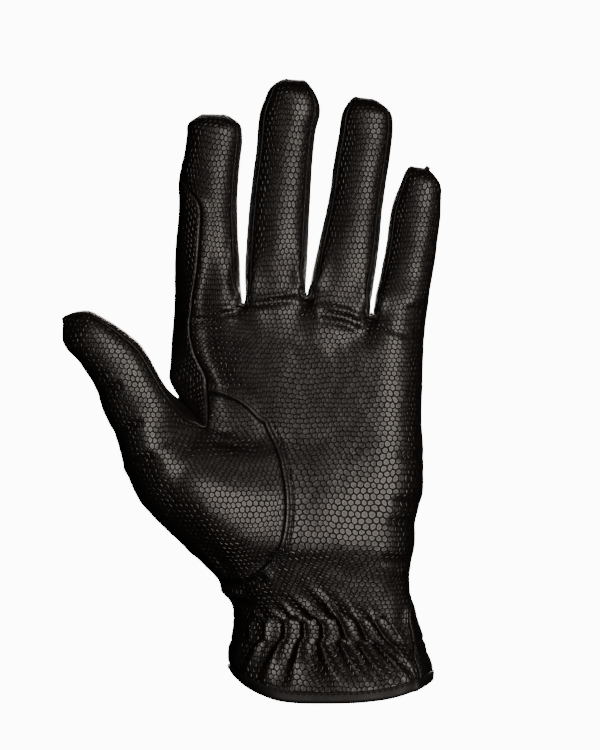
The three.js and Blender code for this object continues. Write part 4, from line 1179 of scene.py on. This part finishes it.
# The hem waves, but the tape runs calmly, so its ring and its directions are evened out.
even = hem_out.copy()
for _ in range(14):
    even = (np.roll(even, 1, axis=0) + even + np.roll(even, -1, axis=0)) / 3
even -= (even * hem_along).sum(axis=1)[:, None] * hem_along
even /= np.linalg.norm(even, axis=1)[:, None]
hem_down = np.cross(hem_along, even)
hem_down *= -np.sign(hem_down[:, 2].mean())
calm_ring = hem_ring.copy()
for _ in range(10):
    calm_ring = (np.roll(calm_ring, 1, axis=0) + calm_ring * 2 + np.roll(calm_ring, -1, axis=0)) / 4
pick()
bpy.ops.mesh.primitive_circle_add(vertices=ring_count, radius=0.04, fill_type="NOTHING")
binding = bpy.context.object
binding.name = "hem_binding"
for k, (n_out, n_down) in enumerate(binding_profile + binding_profile[:1]):
    if k:
        bpy.ops.object.mode_set(mode="EDIT")
        bpy.ops.mesh.extrude_region_move()
        leave_edit()
    spots = positions(binding)
    spots[k * ring_count:(k + 1) * ring_count] = (calm_ring + even * n_out + hem_down * n_down) / 1000
    binding.data.vertices.foreach_set("co", spots.ravel())
edit("SELECT")
bpy.ops.mesh.remove_doubles(threshold=0.000003)
bpy.ops.mesh.normals_make_consistent(inside=False)
leave_edit()
bpy.ops.object.shade_smooth()
binding_leather = plain_leather("smooth_binding_leather", (0.0035, 0.0030, 0.0027, 1), roughness=0.58,
                                scale=1500, distance=0.00006)
binding.data.materials.append(binding_leather)
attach(binding, "root")
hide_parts("cuff_binding")

# Stitches: black thread sewn through the leather along the hem, beside the thumb's seam and along the
# elastic. One is modelled, a short rounded length of thread, and copied along each sewn row.
thread = plain_leather("black_thread", (0.0014, 0.0012, 0.0011, 1), roughness=0.85, scale=5200,
                       distance=0.00005)
pick()
bpy.ops.mesh.primitive_uv_sphere_add(segments=8, ring_count=5, radius=1)
model_stitch = bpy.context.object
model_stitch.name = "model_stitch"
stitch_points = np.array([vertex.co[:] for vertex in model_stitch.data.vertices])
stitch_points[:, 2] = np.sign(stitch_points[:, 2]) * np.abs(stitch_points[:, 2]) ** 0.6
stitch_faces = [list(polygon.vertices) for polygon in model_stitch.data.polygons]
bpy.ops.object.delete()


def resample(points, pitch, closed=False):
    """Places at an even pitch along a row of points, and the way the row runs at each."""
    points = np.asarray(points, dtype=float)
    if closed:
        points = np.vstack([points, points[:1]])
    lengths = np.concatenate([[0], np.cumsum(np.linalg.norm(np.diff(points, axis=0), axis=1))])
    count = max(2, round(lengths[-1] / pitch))
    at = (np.arange(count) + 0.5) / count * lengths[-1]

    def read(places):
        return np.stack([np.interp(places, lengths, points[:, k]) for k in range(3)], axis=1)

    along = read(at + 0.3) - read(at - 0.3)
    return read(at), along / np.linalg.norm(along, axis=1)[:, None]


def stitch_row(name, points, pitch, length, radius, sink, closed=False, normals=None):
    """Copies of the stitch along a row of points, lying on the leather."""
    spots, along = resample(points, pitch, closed)
    verts, faces = [], []
    for i, (spot, run) in enumerate(zip(spots, along)):
        if normals is None:
            found = skin_tree.find_nearest(Vector(spot))
            spot, up = np.array(found[0][:]), np.array(found[1][:])
        else:
            up = normals[min(len(normals) - 1, int(i * len(normals) / len(spots)))]
        up = up - (up @ run) * run
        up /= np.linalg.norm(up)
        across = np.cross(up, run)
        axes = np.stack([across * radius, up * radius * 0.8, run * length / 2], axis=1)
        start = len(verts)
        verts += [tuple(p) for p in (stitch_points @ axes.T + spot - up * sink) / 1000]
        faces += [[v + start for v in face] for face in stitch_faces]
    data = bpy.data.meshes.new(name)
    data.from_pydata(verts, [], faces)
    data.materials.append(thread)
    row = bpy.data.objects.new(name, data)
    bpy.context.collection.objects.link(row)
    pick(row)
    bpy.ops.object.shade_smooth()
    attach(row, "root")


hem_row = calm_ring + even * 1.1 - hem_down * 2.0
stitch_row("stitches_hem", hem_row, pitch=2.2, length=1.5, radius=0.34, sink=0.12, closed=True, normals=even)


def seen_row(line, pitch=1.0):
    """A line drawn in the view from the palm, laid on the leather."""
    line = [(seen_x(px), 0, seen_z(py)) for px, py in line]
    spots, _ = resample(line, pitch)
    laid = []
    for spot in spots:
        hit = skin_tree.ray_cast(Vector((spot[0], -90, spot[2])), Vector((0, 1, 0)))
        if hit[0] is not None:
            laid.append(hit[0][:])
    return np.array(laid)


thumb_row = [
    (216, 380), (232, 383), (247, 389), (260, 401), (272, 417), (280, 436),
    (288, 466), (293.5, 499), (291.5, 528), (286, 549), (278, 563), (268, 576),
]
stitch_row("stitches_thumb_seam", seen_row(thumb_row), pitch=2.3, length=1.5, radius=0.2, sink=0.05)


def round_row(height):
    """A row right round the cuff at one height."""
    laid = []
    for angle in np.linspace(0, 2 * math.pi, 240, endpoint=False):
        start = Vector((60 * math.sin(angle) - 1, -45 * math.cos(angle), height))
        aim = (Vector((-1, 0, height)) - start).normalized()
        hit = skin_tree.ray_cast(start, aim)
        if hit[0] is not None:
            laid.append(hit[0][:])
    return np.array(laid)


for name, height in (("stitches_upper_elastic", high_row), ("stitches_lower_elastic", low_row)):
    stitch_row(name, round_row(height), pitch=2.6, length=1.5, radius=0.19, sink=0.06, closed=True)

# The studio's cove: a round white floor that turns up into its wall. It is lit of itself, so that it stays
# plain, and it throws no light on the glove.
cove_radius = 3.4
cove_height = 5
floor_below = 0.0012
pick()
bpy.ops.mesh.primitive_cylinder_add(vertices=96, radius=cove_radius, depth=cove_height,
                                    location=(0, 0, cove_height / 2 - floor_below), end_fill_type="NGON")
cove = bpy.context.object
cove.name = "cove"
bpy.ops.object.transform_apply(location=True, rotation=False, scale=False)
edit("DESELECT")
leave_edit()
for polygon in cove.data.polygons:
    polygon.select = polygon.center.z > cove_height - 0.1
bpy.ops.object.mode_set(mode="EDIT")
bpy.ops.mesh.delete(type="FACE")
leave_edit()
for edge in cove.data.edges:
    edge.select = max(cove.data.vertices[v].co.z for v in edge.vertices) < 0.1
bpy.ops.object.mode_set(mode="EDIT")
bpy.ops.mesh.bevel(offset=0.9, segments=12, affect="EDGES")
bpy.ops.mesh.select_all(action="SELECT")
bpy.ops.mesh.flip_normals()
leave_edit()
bpy.ops.object.shade_smooth()
cove.data.materials.append(Nodes("studio_white").finish(
    Base_Color=(0.02, 0.02, 0.02, 1), Roughness=1.0, Specular_IOR_Level=0.0,
    Emission_Color=(1, 1, 1, 1), Emission_Strength=12.0))
cove.visible_diffuse = False
cove.visible_glossy = False


# The lights: a large soft box near the camera, a little to its right, and two behind the glove for its back,
# placed so that they hardly reach the front's edges. The world adds a trace of light to the shadows.
def soft_box(name, azimuth, elevation, away, width, height, power):
    """A soft light aimed at the glove's middle. The azimuth turns from the camera's side to the right."""
    a, e = math.radians(azimuth), math.radians(elevation)
    aim = Vector((-0.01, 0, 0.11))
    spot = aim + away * Vector((math.sin(a) * math.cos(e), -math.cos(a) * math.cos(e), math.sin(e)))
    data = bpy.data.lights.new(name, "AREA")
    data.shape = "RECTANGLE"
    data.size, data.size_y = width, height
    data.energy = power
    data.color = (1.0, 0.92, 0.86)
    lamp = bpy.data.objects.new(name, data)
    lamp.location = spot
    lamp.rotation_euler = (aim - spot).to_track_quat("-Z", "Y").to_euler()
    lamp.visible_camera = False
    bpy.context.collection.objects.link(lamp)


soft_box("key", azimuth=22, elevation=3, away=1.3, width=0.7, height=0.8, power=17.8)
soft_box("behind", azimuth=180, elevation=12, away=1.6, width=0.5, height=0.7, power=28)
soft_box("above_behind", azimuth=180, elevation=36, away=1.3, width=0.6, height=0.4, power=3)
world = bpy.data.worlds.new("studio")
world.use_nodes = True
sky = world.node_tree.nodes["Background"]
sky.inputs["Color"].default_value = (1, 1, 1, 1)
sky.inputs["Strength"].default_value = 0.008
bpy.context.scene.world = world

# The camera looks straight at the palm from far off, with little perspective, and its picture is 285 mm high
# where the glove stands.
camera_away = 2.2
seen_height = 0.285
sensor = 36
camera_data = bpy.data.cameras.new("camera")
camera_data.sensor_width = sensor
camera_data.lens = sensor * camera_away / seen_height
camera = bpy.data.objects.new("camera", camera_data)
camera.location = (-0.01178, -camera_away, 0.1235)
camera.rotation_euler = (math.radians(90), 0, 0)
bpy.context.collection.objects.link(camera)
bpy.context.scene.camera = camera
